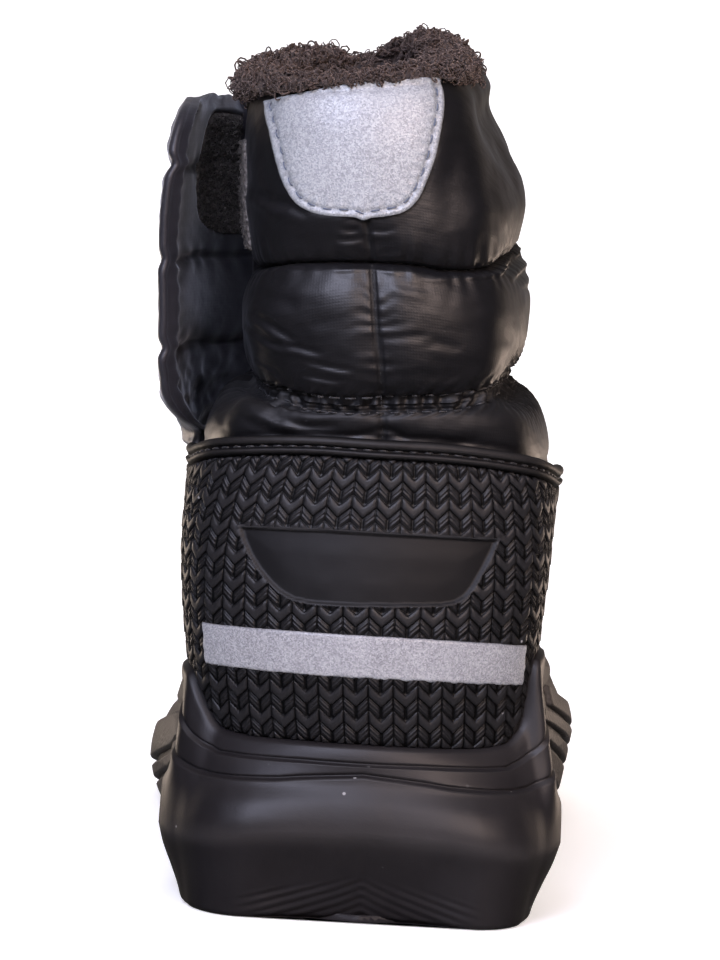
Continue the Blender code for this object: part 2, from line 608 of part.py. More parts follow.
def build_pile(parts, finish):
    """A thick ring of pile inside the collar that rises above it."""
    angle = full_circle()
    top = len(RINGS) - 1.0
    rim, normal = base(angle, np.full(angle.shape, top)), outward(angle, np.full(angle.shape, top))
    flat = normal * np.array([1, 1, 0])
    flat /= np.linalg.norm(flat, axis=1, keepdims=True)
    rise = rim - base(angle, np.full(angle.shape, top - 0.6))
    rise /= np.linalg.norm(rise, axis=1, keepdims=True)
    wall = WALL_SHAFT + GAP
    section = (  # offset from the skin, height above the collar's edge
        (-wall, -20.0), (-wall, -8.0), (-wall, 0.6), (-1.2, 1.5), (0.4, 2.8), (-1.0, 4.6), (-4.0, 5.4),
        (-wall - PILE_DEPTH + 1.4, 4.2), (-wall - PILE_DEPTH, 0.0), (-wall - PILE_DEPTH, -8.0), (-wall - PILE_DEPTH + 0.8, -20.0),
    )
    rings = []
    for offset, height in section:
        if height < -0.5:
            u = np.full(angle.shape, top + height / 31.0 * (top - RING["seam"]))
            rings.append(skin(angle, u, offset))
        else:
            rings.append(rim + flat * offset + rise * height)
    return tube("fur_collar", rings, parts, finish)


def main():
    clear_scene()
    parts, helpers = collection("winter_boot"), collection("cutters")
    rubber = material("sole_rubber", (0.012, 0.012, 0.014), 0.45)
    counter = material("counter_rubber", (0.014, 0.014, 0.016), 0.4)
    binding = material("binding_rubber", (0.013, 0.013, 0.015), 0.42)
    nylon = material("quilted_nylon", (0.012, 0.012, 0.015), 0.38)
    flap_nylon = material("flap_nylon", (0.012, 0.012, 0.015), 0.38)
    pile = material("dark_pile", (0.03, 0.02, 0.018), 0.95)
    cap = material("toe_cap_rubber", (0.013, 0.013, 0.015), 0.42)
    felt = material("footbed_felt", (0.03, 0.025, 0.022), 0.95)
    build_sole(parts, helpers, rubber)
    build_insole(parts, felt)
    build_upper(parts, nylon)
    build_counter(parts, helpers, counter)
    build_binding(parts, binding)
    build_toe_cap(parts, cap)
    build_flap(parts, flap_nylon)
    build_pile(parts, pile)


main()
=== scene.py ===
"""Looks of a child's winter boot, left foot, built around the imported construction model.

Millimetres in the tables and functions, metres in the scene. Stations run from the back of the heel (0) to the toe (212),
+X is the inner side of this left boot. Angles go round the boot: 0 at the back, 180 at the front, negative on the outer
side. The named sizes, tables and curve functions are the construction's own, read here at a finer step.
"""
import math

import bpy
import numpy as np
from mathutils import Matrix


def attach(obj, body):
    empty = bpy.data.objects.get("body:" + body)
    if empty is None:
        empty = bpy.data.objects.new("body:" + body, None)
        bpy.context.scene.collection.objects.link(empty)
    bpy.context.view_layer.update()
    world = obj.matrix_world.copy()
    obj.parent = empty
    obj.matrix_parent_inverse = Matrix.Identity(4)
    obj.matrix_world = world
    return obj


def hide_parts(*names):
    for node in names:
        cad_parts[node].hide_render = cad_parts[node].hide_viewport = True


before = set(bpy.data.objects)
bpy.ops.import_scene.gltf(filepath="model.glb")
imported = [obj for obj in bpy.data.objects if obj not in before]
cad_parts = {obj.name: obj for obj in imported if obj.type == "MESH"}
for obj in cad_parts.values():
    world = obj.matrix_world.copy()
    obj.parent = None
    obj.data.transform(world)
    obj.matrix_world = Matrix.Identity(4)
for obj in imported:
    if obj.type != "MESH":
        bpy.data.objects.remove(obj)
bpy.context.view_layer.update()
MM = 0.001
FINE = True

# ---------------------------------------------------------------- named sizes, mm
SOLE_LENGTH = 212.0
ORIGIN_X = -1.0  # middle of the whole box, measured from the heel's centre line
ORIGIN_Y = SOLE_LENGTH / 2

HEEL_BACK = 6.5  # how far the upper's heel stands in from the back of the sole
TOE_TIP = 205.0
HEEL_HALF = 31.5  # upper's half width at the heel
BALL_HALF = 40.0  # upper's half width at the ball, down in the sole
QUARTER_HALF = 34.5  # half width over the ankle bones
RUCHE_HALF = 24.9  # half width where elastic draws the shaft in
SHAFT_HALF = 27.3
HEEL_SEAT = 25.0  # height of the footbed at the heel
INSTEP_HEIGHT = 87.0
COLLAR_BACK = 160.0
COLLAR_FRONT = 166.0
SHAFT_FRONT = 98.0

WALL_FOOT = 3.0  # upper's wall over the foot
WALL_SHAFT = 3.6  # quilted wall at a seam; a puff adds to it
GAP = 0.35  # between pieces that touch
CUP_GAP = 0.45  # between the upper and the sole round it
COUNTER_THICK = 2.0
BINDING_THICK = 2.9
TOE_CAP_THICK = 1.7
LIP_THICK = 3.2  # sole's cup wall at its top edge
PILE_DEPTH = 5.5

AROUND = 56  # points round the boot
PUFF = 3.4  # how far a quilted chamber swells

# ---------------------------------------------------------------- the upper's rings
# back, front: where the ring meets the two profiles (station, height).  sag: how far the ring dips at the ball.
# w30 to w150: half widths at those angles.  lean: shift of the ring's middle at the back and at the front.
# arch: share taken off the inner side at the waist.  outer: share of the width kept on the outer side of the shaft.
# tilt: rise across the boot, inner side up, where the shaft leans outwards.
RINGS = (
    # name      back                    front                       sag   w30              w60               w90                w120             w150   lean         arch  outer tilt
    ("hem",    (11.0, HEEL_SEAT),      (TOE_TIP - 5, 25.0),         11.0, HEEL_HALF - 4.5, HEEL_HALF - 2.0,  HEEL_HALF + 1.5,   BALL_HALF - 2,   25.0, (0.0, 3.0),  0.10, 1.00, 0.000),
    ("feather",(8.8, 37.0),            (TOE_TIP, 34.0),             11.0, HEEL_HALF - 3.0, HEEL_HALF - 1.2,  HEEL_HALF + 3.0,   BALL_HALF - 1,   28.0, (-1.2, 3.0), 0.10, 1.00, 0.000),
    ("wall",   (HEEL_BACK, 50.0),      (TOE_TIP - 1.5, 46.0),       8.0,  HEEL_HALF - 2.0, HEEL_HALF + 0.2,  HEEL_HALF + 1.6,   BALL_HALF - 6.4,  25.0, (-2.2, 2.6), 0.06, 1.00, 0.000),
    ("crown",  (HEEL_BACK, 60.0),      (TOE_TIP - 13, 58.0),        5.0,  HEEL_HALF - 1.2, HEEL_HALF + 1.2,  HEEL_HALF + 1.8,   BALL_HALF - 7,  20.0, (-2.6, 2.2), 0.03, 1.00, 0.000),
    ("vamp",   (7.4, 69.0),            (TOE_TIP - 35, 67.5),        2.0,  HEEL_HALF - 1.0, QUARTER_HALF - 0.8, QUARTER_HALF - 0.6, 31.0,          18.0, (-2.6, 1.5), 0.00, 1.00, 0.000),
    ("cone",   (8.6, 78.0),            (TOE_TIP - 59, 76.0),        0.0,  HEEL_HALF - 1.8, QUARTER_HALF,     QUARTER_HALF - 0.2, 29.0,           17.0, (-2.4, 0.8), 0.00, 1.00, 0.000),
    ("instep", (9.6, 87.0),            (TOE_TIP - 82, INSTEP_HEIGHT), 0.0, HEEL_HALF - 4.0, QUARTER_HALF - 0.8, QUARTER_HALF - 0.4, 27.5,         16.0, (-1.9, -0.4), 0.00, 1.00, 0.000),
    ("ankle",  (10.2, 95.5),           (109.0, 100.0),              0.0,  23.0,            QUARTER_HALF - 5.0, QUARTER_HALF - 4.2, 26.0,         15.0, (-1.6, -1.4), 0.00, 1.00, 0.020),
    ("ruche",  (10.4, 101.5),          (103.0, 107.0),              0.0,  19.0,            RUCHE_HALF - 1.6, RUCHE_HALF,        23.0,            13.5, (-2.0, -2.4), 0.00, 0.95, 0.060),
    ("seam",   (9.4, 127.0),           (99.5, 133.0),               0.0,  18.0,            SHAFT_HALF - 2.6, SHAFT_HALF,        24.5,            14.5, (-4.8, -5.4), 0.00, 0.86, 0.070),
    ("breast", (9.0, 147.5),           (99.0, 155.0),               0.0,  17.5,            SHAFT_HALF - 3.2, SHAFT_HALF - 1.0,  24.5,            14.5, (-7.7, -8.3), 0.00, 0.84, 0.100),
    ("collar", (9.6, COLLAR_BACK),     (SHAFT_FRONT, COLLAR_FRONT), 0.0,  17.0,            SHAFT_HALF - 3.6, SHAFT_HALF - 0.9,  24.0,            14.0, (-9.4, -10.0), 0.00, 0.84, 0.120),
)
RING = {row[0]: float(i) for i, row in enumerate(RINGS)}

# ---------------------------------------------------------------- the sole, by angle round its outline
# tuck: how far the ground edge stands in from the ridge.  ridge: height of the widest line.  lip: height of the cup's top edge.
# The two figures in each bracket are the outer side and the inner side.
SOLE_STATIONS = (
    # angle  tuck          ridge         lip
    (0,     (6.8, 6.8),   (17.4, 17.4), (34.0, 34.0)),
    (10,    (5.0, 5.0),   (16.9, 16.9), (34.0, 33.8)),
    (19,    (1.6, 1.8),   (15.6, 15.6), (33.8, 33.6)),
    (26,    (2.0, 2.4),   (14.4, 14.4), (34.4, 34.2)),
    (30,    (3.2, 3.8),   (13.8, 14.2), (38.8, 37.0)),
    (35,    (4.6, 5.0),   (13.6, 14.6), (44.6, 50.6)),
    (45,    (5.4, 5.8),   (14.5, 15.0), (45.4, 51.6)),
    (60,    (6.0, 6.4),   (15.5, 16.5), (43.6, 47.5)),
    (90,    (6.0, 6.5),   (13.0, 18.5), (35.5, 41.5)),
    (120,   (4.2, 6.4),   (9.4, 19.6),  (30.5, 36.0)),
    (150,   (5.5, 6.5),   (15.0, 20.5), (33.5, 36.5)),
    (180,   (7.0, 7.0),   (22.5, 22.5), (40.0, 40.0)),
)
REAR_SQUARE = ((0, 0.0), (4, 0.15), (7, 0.62), (10, 1.35), (14, 2.6), (18, 3.8), (21, 4.1), (24, 3.4), (27, 1.9), (30, 0.3), (34, 0.0), (180, 0.0))  # how much further back than round
SOLE_HALF = {"outer": (37.0, 39.4, 42.0, 48.6, 33.0), "inner": (36.0, 37.3, 36.5, 44.0, 33.0)}  # at 30, 60, 90, 120, 150
SOLE_TOE_SHIFT = 3.0
ARCH_RISE, ARCH_FROM, ARCH_TO = 4.5, 58.0, 106.0
TOE_SPRING, TOE_SPRING_FROM = 12.0, 164.0
TIERS = ((0.62, 0.9), (0.82, 0.9))  # share of the height from ridge to lip, and depth, of the two lines round the heel cup
CROSS_GROOVES = (20.0, 42.0, 118.0, 132.0, 146.0, 160.0, 174.0)  # stations
CROSS_WIDTH, CROSS_DEPTH = 4.0, 3.6
SIDE_GROOVES = (112.0, 126.0, 140.0, 154.0)  # stations where a side groove crosses the ridge
SIDE_WIDTH, SIDE_DEPTH, SIDE_RUN, SIDE_DIP = 2.6, 2.4, 26.0, 26.0  # the dip is in degrees, forward and down

# ---------------------------------------------------------------- the open flap
# Heights, with the flap's free edge and its root in plan, and the share of its length that is left under the round corner.
FLAP_ROWS = (
    # height  edge x, station   root x, station   kept
    (89.6,   (-39.0, 50.0),    (-34.8, 83.0),    0.90),
    (92.5,   (-40.6, 44.0),    (-33.2, 85.0),    0.97),
    (97.0,   (-42.4, 39.0),    (-32.0, 87.0),    1.00),
    (105.0,  (-43.9, 36.0),    (-30.0, 88.5),    1.00),
    (116.0,  (-44.3, 35.0),    (-29.4, 88.5),    1.00),
    (131.0,  (-44.8, 35.0),    (-31.6, 88.0),    1.00),
    (143.0,  (-44.2, 35.0),    (-33.8, 87.0),    1.00),
    (150.0,  (-43.2, 35.5),    (-34.6, 87.0),    0.96),
    (154.0,  (-42.0, 36.0),    (-34.8, 87.0),    0.84),
    (156.4,  (-41.0, 36.5),    (-34.9, 87.0),    0.62),
)
FLAP_THICK, FLAP_EDGE, FLAP_PUFF = 2.2, 1.6, 2.2
FLAP_SEAMS = (88.0, 107.0, 124.5, 143.5, 157.5)

# ---------------------------------------------------------------- overlays on the upper
COUNTER_ANGLE = 70.0
RECESS_TOP, RECESS_FOOT = (75.3, 25.3), (61.5, 14.4)  # height and half width of the plain recess on the counter
RECESS_SHIFT, RECESS_DEPTH = -2.2, 0.8
COUNTER_TOP_BACK, COUNTER_TOP_SIDE = 89.4, 83.6
BINDING_TALL = 3.3
TOE_CAP_ANGLE = 58.0  # each way from the front
TOE_CAP_RING = 2.7  # ring that the toe cap's edge reaches at the front


# ---------------------------------------------------------------- curves through tables
def column(name):
    """One named column of RINGS as an array."""
    take = {
        "back_y": lambda r: r[1][0], "back_z": lambda r: r[1][1], "front_y": lambda r: r[2][0], "front_z": lambda r: r[2][1],
        "sag": lambda r: r[3], "w30": lambda r: r[4], "w60": lambda r: r[5], "w90": lambda r: r[6], "w120": lambda r: r[7],
        "w150": lambda r: r[8], "lean_back": lambda r: r[9][0], "lean_front": lambda r: r[9][1], "arch": lambda r: r[10],
        "outer": lambda r: r[11], "tilt": lambda r: r[12],
    }[name]
    return np.array([take(row) for row in RINGS], float)


def spline(values, u):
    """A smooth curve through evenly spaced values, read at u."""
    values = np.asarray(values, float)
    u = np.asarray(u, float)
    i = np.clip(np.floor(u).astype(int), 0, len(values) - 2)
    t = u - i
    p = np.concatenate([[2 * values[0] - values[1]], values, [2 * values[-1] - values[-2]]])
    a, b, c, d = p[i], p[i + 1], p[i + 2], p[i + 3]
    return b + 0.5 * t * (c - a + t * (2 * a - 5 * b + 4 * c - d + t * (3 * (b - c) + d - a)))


def curve(xs, ys, x):
    """A smooth curve through unevenly spaced points that never overshoots them."""
    xs, ys, x = np.asarray(xs, float), np.asarray(ys, float), np.asarray(x, float)
    h = np.diff(xs)
    slope = np.diff(ys) / h
    m = np.zeros(len(xs))
    m[0], m[-1] = slope[0], slope[-1]
    for k in range(1, len(xs) - 1):
        if slope[k - 1] * slope[k] > 0:
            a, b = 2 * h[k] + h[k - 1], h[k] + 2 * h[k - 1]
            m[k] = (a + b) / (a / slope[k - 1] + b / slope[k])
    i = np.clip(np.searchsorted(xs, x, side="right") - 1, 0, len(xs) - 2)
    t = np.clip((x - xs[i]) / h[i], 0, 1)
    return ((2 * t**3 - 3 * t**2 + 1) * ys[i] + (t**3 - 2 * t**2 + t) * h[i] * m[i]
            + (3 * t**2 - 2 * t**3) * ys[i + 1] + (t**3 - t**2) * h[i] * m[i + 1])


def half_width(angle, widths):
    """Half width at an angle (degrees, 0 to 180) through widths at 30, 60, 90, 120 and 150, round at both ends."""
    zero = np.zeros_like(widths[0])
    knots = [-widths[0], zero, *widths, zero, -widths[4]]
    u = np.clip(np.abs(angle) / 30.0, 0, 6)
    i = np.clip(np.floor(u).astype(int), 0, 5)
    t = u - i
    stack = np.stack([np.broadcast_to(k, u.shape) for k in knots])
    a, b, c, d = (np.take_along_axis(stack, (i + k)[None], 0)[0] for k in range(4))
    return b + 0.5 * t * (c - a + t * (2 * a - 5 * b + 4 * c - d + t * (3 * (b - c) + d - a)))


def step(low, high, x):
    t = np.clip((np.asarray(x, float) - low) / (high - low), 0, 1)
    return t * t * (3 - 2 * t)


# ---------------------------------------------------------------- the upper's own function
def base(angle, u):
    """The upper's outer skin without its padding, at an angle and a ring number."""
    angle, u = np.broadcast_arrays(np.asarray(angle, float), np.asarray(u, float))
    s = (1 - np.cos(np.radians(angle))) / 2
    inner = angle > 0
    half = half_width(angle, [spline(column(w), u) for w in ("w30", "w60", "w90", "w120", "w150")])
    waist = np.exp(-(((s - 0.42) / 0.17) ** 2))
    half = np.where(inner, half * (1 - spline(column("arch"), u) * waist), half * spline(column("outer"), u))
    dip = s**2.1 * (1 - s) / 0.1424
    back_y, front_y = spline(column("back_y"), u), spline(column("front_y"), u)
    back_z, front_z = spline(column("back_z"), u), spline(column("front_z"), u)
    lean = spline(column("lean_back"), u) * (1 - s**2) + spline(column("lean_front"), u) * s**2
    x = lean + np.where(inner, half, -half)
    y = back_y + (front_y - back_y) * s
    z = back_z + (front_z - back_z) * s - spline(column("sag"), u) * dip + spline(column("tilt"), u) * (x - lean)
    return np.stack([x, y, z], -1)


def outward(angle, u):
    """Unit normal of the skin, pointing out of the boot."""
    angle, u = np.broadcast_arrays(np.asarray(angle, float), np.asarray(u, float))
    top = len(RINGS) - 1
    du = base(angle, np.minimum(u + 0.02, top)) - base(angle, np.maximum(u - 0.02, 0))
    da = base(angle + 0.5, u) - base(angle - 0.5, u)
    n = np.cross(da, du)
    n[..., 2] *= step(0.0, 0.9, u)  # the hem is cut square, so that it stands flat in the sole
    return n / np.linalg.norm(n, axis=-1, keepdims=True)


def padding(angle, u):
    """How far the quilting swells from the skin: three chambers between the collar, two seams and the counter's top."""
    foot = RING["instep"] + 0.8 - 0.62 * step(8, 62, np.abs(angle))  # just over the counter's binding
    seams = (foot, RING["ruche"], RING["seam"], RING["collar"])
    swell = (0.5, 1.4, 0.85)
    fullest = (0.5, 0.5, 0.34)  # where up its height each chamber is fullest
    out = np.zeros(np.broadcast(angle, u).shape)
    for low, high, much, peak in zip(seams, seams[1:], swell, fullest):
        t = np.clip((u - low) / (high - low), 0, 1) ** (math.log(0.5) / math.log(peak))
        out = out + PUFF * much * (4 * t * (1 - t)) ** 0.6
    # the folded-in gusset on the outer side, under the flap, has no padding
    gusset = step(-150, -140, angle) * (1 - step(-72, -62, angle))
    return out * (1 - gusset * step(RING["ankle"], RING["ruche"], u))


def skin(angle, u, offset=0.0, padded=False):
    """A point of the boot at an offset from the upper's skin."""
    far = offset + (padding(angle, u) if padded else 0.0)
    return base(angle, u) + outward(angle, u) * np.asarray(far)[..., None]


def ring_at(angle, height, low=0.0, high=None):
    """The ring number at which the skin reaches a height."""
    angle, height = np.broadcast_arrays(np.asarray(angle, float), np.asarray(height, float))
    low = np.full(angle.shape, low)
    high = np.full(angle.shape, len(RINGS) - 1.0 if high is None else high)
    for _ in range(30):
        middle = (low + high) / 2
        above = base(angle, middle)[..., 2] > height
        low, high = np.where(above, low, middle), np.where(above, middle, high)
    return (low + high) / 2


def angle_at(x, height):
    """The angle near the back at which the skin reaches a place across, at a height."""
    x, height = np.broadcast_arrays(np.asarray(x, float), np.asarray(height, float))
    low, high = np.full(x.shape, -70.0), np.full(x.shape, 70.0)
    for _ in range(24):
        middle = (low + high) / 2
        beyond = base(middle, ring_at(middle, height))[..., 0] > x
        low, high = np.where(beyond, low, middle), np.where(beyond, middle, high)
    return (low + high) / 2


# ---------------------------------------------------------------- the sole's own functions
def ground(station):
    """Height of the sole's underside: flat under heel and ball, lifted at the arch and the toe."""
    t = np.clip((station - ARCH_FROM) / (ARCH_TO - ARCH_FROM), 0, 1)
    arch = ARCH_RISE * np.sin(np.pi * t) ** 2
    toe = TOE_SPRING * (np.clip(station - TOE_SPRING_FROM, 0, None) / (SOLE_LENGTH - TOE_SPRING_FROM)) ** 2
    return arch + toe


def outline(angle):
    """The sole's widest line in plan."""
    angle = np.asarray(angle, float)
    s = (1 - np.cos(np.radians(angle))) / 2
    outer = half_width(angle, [np.float64(w) for w in SOLE_HALF["outer"]])
    inner = half_width(angle, [np.float64(w) for w in SOLE_HALF["inner"]])
    square = curve([row[0] for row in REAR_SQUARE], [row[1] for row in REAR_SQUARE], np.abs(angle))
    return np.stack([SOLE_TOE_SHIFT * s**2 + np.where(angle > 0, inner, -outer), SOLE_LENGTH * s - square], -1)


def outline_normal(angle):
    d = outline(angle + 0.5) - outline(angle - 0.5)
    n = np.stack([d[..., 1], -d[..., 0]], -1)
    return n / np.linalg.norm(n, axis=-1, keepdims=True)


def sole_column(index, angle):
    angles = [row[0] for row in SOLE_STATIONS]
    outer = curve(angles, [row[index][0] for row in SOLE_STATIONS], np.abs(angle))
    inner = curve(angles, [row[index][1] for row in SOLE_STATIONS], np.abs(angle))
    return np.where(angle > 0, inner, outer)


def sole_rings(angle):
    """The sole's closed skin as rings, from the ground edge over the ridge and lip down to the cup's floor."""
    edge, normal = outline(angle), outline_normal(angle)
    tuck, ridge, lip = (sole_column(k, angle) for k in (1, 2, 3))
    back = 1 - step(18, 42, np.abs(angle))
    floor_z = ground(edge[:, 1])
    rings = []

    def add(inset, z):
        rings.append(np.concatenate([edge - normal * inset[:, None], z[:, None]], 1))

    # below the ridge: rounded at the sides, swept under at the back
    for share, side, rear in ((0.0, 1.0, 1.0), (0.14, 0.52, 0.85), (0.6, 0.18, 0.5), (1.0, 0.0, 0.0)):
        inset = tuck * (side * (1 - back) + rear * back)
        if share == 0.0:
            # the ground edge follows the underside where it stands, not where the ridge does
            where = (edge - normal * inset[:, None])[:, 1]
            add(inset, ground(where))
        else:
            add(inset, floor_z + (ridge - floor_z) * share if share < 1 else ridge)
    # above the ridge: a bellied wall that closes on the upper, with two lines round the heel cup
    lip_ring = ring_at(angle, lip)
    lip_out = skin(angle, lip_ring, CUP_GAP + LIP_THICK)
    heel = 1 - step(50, 75, np.abs(angle))
    ridge_point = rings[-1]
    shares = [0.12, 0.34]
    for at, _ in TIERS:
        shares += [at - 0.03, at, at + 0.03]
    for share in shares + [0.97, 1.0]:
        lean = curve((0, 0.12, 0.34, 0.58, 1.0), (0, 0.02, 0.16, 0.5, 1.0), share)
        point = ridge_point * (1 - lean) + lip_out * lean
        point[:, 2] = ridge_point[:, 2] * (1 - share) + lip_out[:, 2] * share
        for at, deep in TIERS:
            if share == at:
                point[:, :2] -= normal * (deep * heel)[:, None]
        if share == 1.0:
            point[:, :2] -= normal * 0.5
        rings.append(point)
    # down the inside of the cup
    for share in (1.0, 0.75, 0.5, 0.25, 0.0):
        rings.append(skin(angle, lip_ring * share, CUP_GAP))
    rings[-1] = rings[-1] - np.array([0, 0, GAP])
    return rings


def counter_top(angle):
    """Height of the counter's upper edge: highest at the back seam."""
    return COUNTER_TOP_BACK + (COUNTER_TOP_SIDE - COUNTER_TOP_BACK) * step(8, 62, np.abs(angle))


def flap_point(t, height, offset):
    """The flap's middle surface at a share of its length from the root, moved outwards by an offset."""
    heights = [row[0] for row in FLAP_ROWS]
    edge_x, edge_y, root_x, root_y, kept = (curve(heights, [pick(r) for r in FLAP_ROWS], height) for pick in (
        lambda r: r[1][0], lambda r: r[1][1], lambda r: r[2][0], lambda r: r[2][1], lambda r: r[3]))
    t = t * kept
    along_x, along_y = edge_x - root_x, edge_y - root_y
    length = np.hypot(along_x, along_y)
    nx, ny = along_y / length, -along_x / length
    bow = 3.4 * np.sin(np.pi * np.clip(t, 0, 1))
    x = root_x + along_x * t + nx * (bow + offset)
    y = root_y + along_y * t + ny * (bow + offset)
    return np.stack([x, y, np.broadcast_to(height, x.shape)], -1)


# ================================================================ noise, all of it seeded
def _table(seed, shape):
    return np.random.default_rng(seed).uniform(-1, 1, shape)


_TABLES2 = {s: _table(s, (64, 64)) for s in range(12)}
_TABLES3 = {s: _table(100 + s, (24, 24, 24)) for s in range(6)}


def _fade(t):
    return t * t * t * (t * (t * 6 - 15) + 10)


def noise2(x, y, seed=0):
    """Smooth noise from -1 to 1 over a plane."""
    table = _TABLES2[seed % 12]
    x, y = np.broadcast_arrays(np.asarray(x, float) + 17.3 * seed, np.asarray(y, float) + 5.1 * seed)
    i, j = np.floor(x).astype(int), np.floor(y).astype(int)
    u, v = _fade(x - i), _fade(y - j)
    i0, i1, j0, j1 = i % 64, (i + 1) % 64, j % 64, (j + 1) % 64
    low = table[i0, j0] * (1 - u) + table[i1, j0] * u
    high = table[i0, j1] * (1 - u) + table[i1, j1] * u
    return low * (1 - v) + high * v


def noise3(p, size, seed=0):
    """Smooth noise from -1 to 1 through space, with lumps of about a size in mm."""
    table = _TABLES3[seed % 6]
    q = np.asarray(p, float) / size + 7.7 * seed
    i = np.floor(q).astype(int)
    f = _fade(q - i)
    out = 0
    for dx in (0, 1):
        for dy in (0, 1):
            for dz in (0, 1):
                share = ((f[..., 0] if dx else 1 - f[..., 0]) * (f[..., 1] if dy else 1 - f[..., 1]) * (f[..., 2] if dz else 1 - f[..., 2]))
                out = out + share * table[(i[..., 0] + dx) % 24, (i[..., 1] + dy) % 24, (i[..., 2] + dz) % 24]
    return out


def bell(x, width):
    return np.exp(-((np.asarray(x, float) / width) ** 2))


def near_line(x, z, points):
    """Distance from a polyline in the (x, z) plane, and the share of its length at the nearest place."""
    pts = np.asarray(points, float)
    run = np.concatenate([[0], np.cumsum(np.hypot(*np.diff(pts, axis=0).T))])
    best, where = np.full(np.shape(x), 1e9), np.zeros(np.shape(x))
    side = np.zeros(np.shape(x))
    for k in range(len(pts) - 1):
        (ax, az), (bx, bz) = pts[k], pts[k + 1]
        dx, dz = bx - ax, bz - az
        length = math.hypot(dx, dz)
        t = np.clip(((x - ax) * dx + (z - az) * dz) / length**2, 0, 1)
        away = np.hypot(x - ax - dx * t, z - az - dz * t)
        closer = away < best
        best = np.where(closer, away, best)
        where = np.where(closer, (run[k] + t * length) / run[-1], where)
        side = np.where(closer, np.sign((x - ax) * dz - (z - az) * dx), side)
    return best, where, side


def soft_polyline(points, count=9):
    """A smooth curve through a few given points."""
    pts = np.asarray(points, float)
    if len(pts) < 3:
        return pts
    u = np.linspace(0, len(pts) - 1, count)
    return np.stack([spline(pts[:, 0], u), spline(pts[:, 1], u)], -1)


def crease(x, z, rows):
    """Height of listed creases: a soft trough with a low ridge along one side or both."""
    out = np.zeros(np.shape(x))
    for points, width, depth, lip in rows:
        line = soft_polyline(points)
        lo, hi = line.min(0) - 5 * width, line.max(0) + 5 * width
        inside = (x > lo[0]) & (x < hi[0]) & (z > lo[1]) & (z < hi[1])
        if not inside.any():
            continue
        away, share, side = near_line(x[inside], z[inside], line)
        ends = np.clip(4 * share * (1 - share), 0, 1) ** 0.6
        trough = -depth * bell(away, width)
        ridge = abs(lip) * depth * bell(away - 1.9 * width, 1.1 * width) * (0.5 + 0.5 * side * np.sign(lip) if lip else 0)
        out[inside] += (trough + ridge) * ends
    return out


# ================================================================ meshes
def to_scene(points):
    points = np.asarray(points, float) - np.array([ORIGIN_X, ORIGIN_Y, 0.0])
    return points * MM


class Soup:
    """Points, faces and coordinates of one mesh, added patch by patch."""

    def __init__(self):
        self.points, self.quads, self.tris, self.uv, self.kind3, self.kind4, self.mark = [], [], [], [], [], [], []
        self.count = 0

    def add(self, points, quads=None, tris=None, uv=None, kind=0, mark=None):
        points = np.asarray(points, float).reshape(-1, 3)
        first = self.count
        self.points.append(points)
        self.uv.append(np.zeros((len(points), 2)) if uv is None else np.asarray(uv, float).reshape(-1, 2))
        self.mark.append(np.zeros(len(points)) if mark is None else np.broadcast_to(np.asarray(mark, float), (len(points),)) if np.ndim(mark) == 0 else np.asarray(mark, float).ravel())
        if quads is not None and len(quads):
            self.quads.append(np.asarray(quads, int) + first)
            self.kind4.append(np.full(len(quads), kind) if np.ndim(kind) == 0 else np.asarray(kind))
        if tris is not None and len(tris):
            self.tris.append(np.asarray(tris, int) + first)
            self.kind3.append(np.full(len(tris), kind if np.ndim(kind) == 0 else 0))
        self.count += len(points)
        return first


def grid_faces(rows, cols, closed_cols=False, closed_rows=False):
    j = np.arange(rows if closed_rows else rows - 1)[:, None]
    i = np.arange(cols if closed_cols else cols - 1)[None, :]
    j2, i2 = (j + 1) % rows, (i + 1) % cols
    return np.stack([j * cols + i, j * cols + i2, j2 * cols + i2, j2 * cols + i], -1).reshape(-1, 4)


def piece(name, soup, finishes, replaces=(), smooth=True, turn=None):
    """Makes the mesh of a soup, puts its materials on, and has it ride on the boot's one body."""
    co = to_scene(np.concatenate(soup.points))
    quads = np.concatenate(soup.quads) if soup.quads else np.zeros((0, 4), int)
    tris = np.concatenate(soup.tris) if soup.tris else np.zeros((0, 3), int)
    if turn is None:  # faces look outwards: the signed volume says which way round they are
        a = co - co.mean(0)
        volume = 0.0
        for f in ((quads[:, [0, 1, 2]], quads[:, [0, 2, 3]], tris)):
            if len(f):
                volume += np.einsum("ij,ij->i", a[f[:, 0]], np.cross(a[f[:, 1]], a[f[:, 2]])).sum()
        turn = volume < 0
    if turn:
        quads, tris = quads[:, ::-1], tris[:, ::-1]
    mesh = bpy.data.meshes.new(name)
    mesh.vertices.add(len(co))
    mesh.vertices.foreach_set("co", co.astype(np.float32).ravel())
    loops = np.concatenate([quads.ravel(), tris.ravel()]).astype(np.int32)
    mesh.loops.add(len(loops))
    mesh.loops.foreach_set("vertex_index", loops)
    mesh.polygons.add(len(quads) + len(tris))
    starts = np.concatenate([np.arange(len(quads)) * 4, len(quads) * 4 + np.arange(len(tris)) * 3]).astype(np.int32)
    mesh.polygons.foreach_set("loop_start", starts)
    kinds = np.concatenate([*(soup.kind4 or [np.zeros(0)]), *(soup.kind3 or [np.zeros(0)])]).astype(np.int32)
    mesh.polygons.foreach_set("material_index", kinds)
    layer = mesh.uv_layers.new(name="shoe")
    layer.data.foreach_set("uv", np.concatenate(soup.uv)[loops].astype(np.float32).ravel())
    mark = mesh.attributes.new("mark", "FLOAT", "POINT")
    mark.data.foreach_set("value", np.concatenate(soup.mark).astype(np.float32))
    mesh.update(calc_edges=True)
    mesh.validate()
    if smooth:
        mesh.shade_smooth()
    obj = bpy.data.objects.new(name, mesh)
    bpy.context.scene.collection.objects.link(obj)
    for finish in finishes:
        mesh.materials.append(finish)
    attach(obj, "root")
    if replaces:
        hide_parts(*replaces)
    return obj


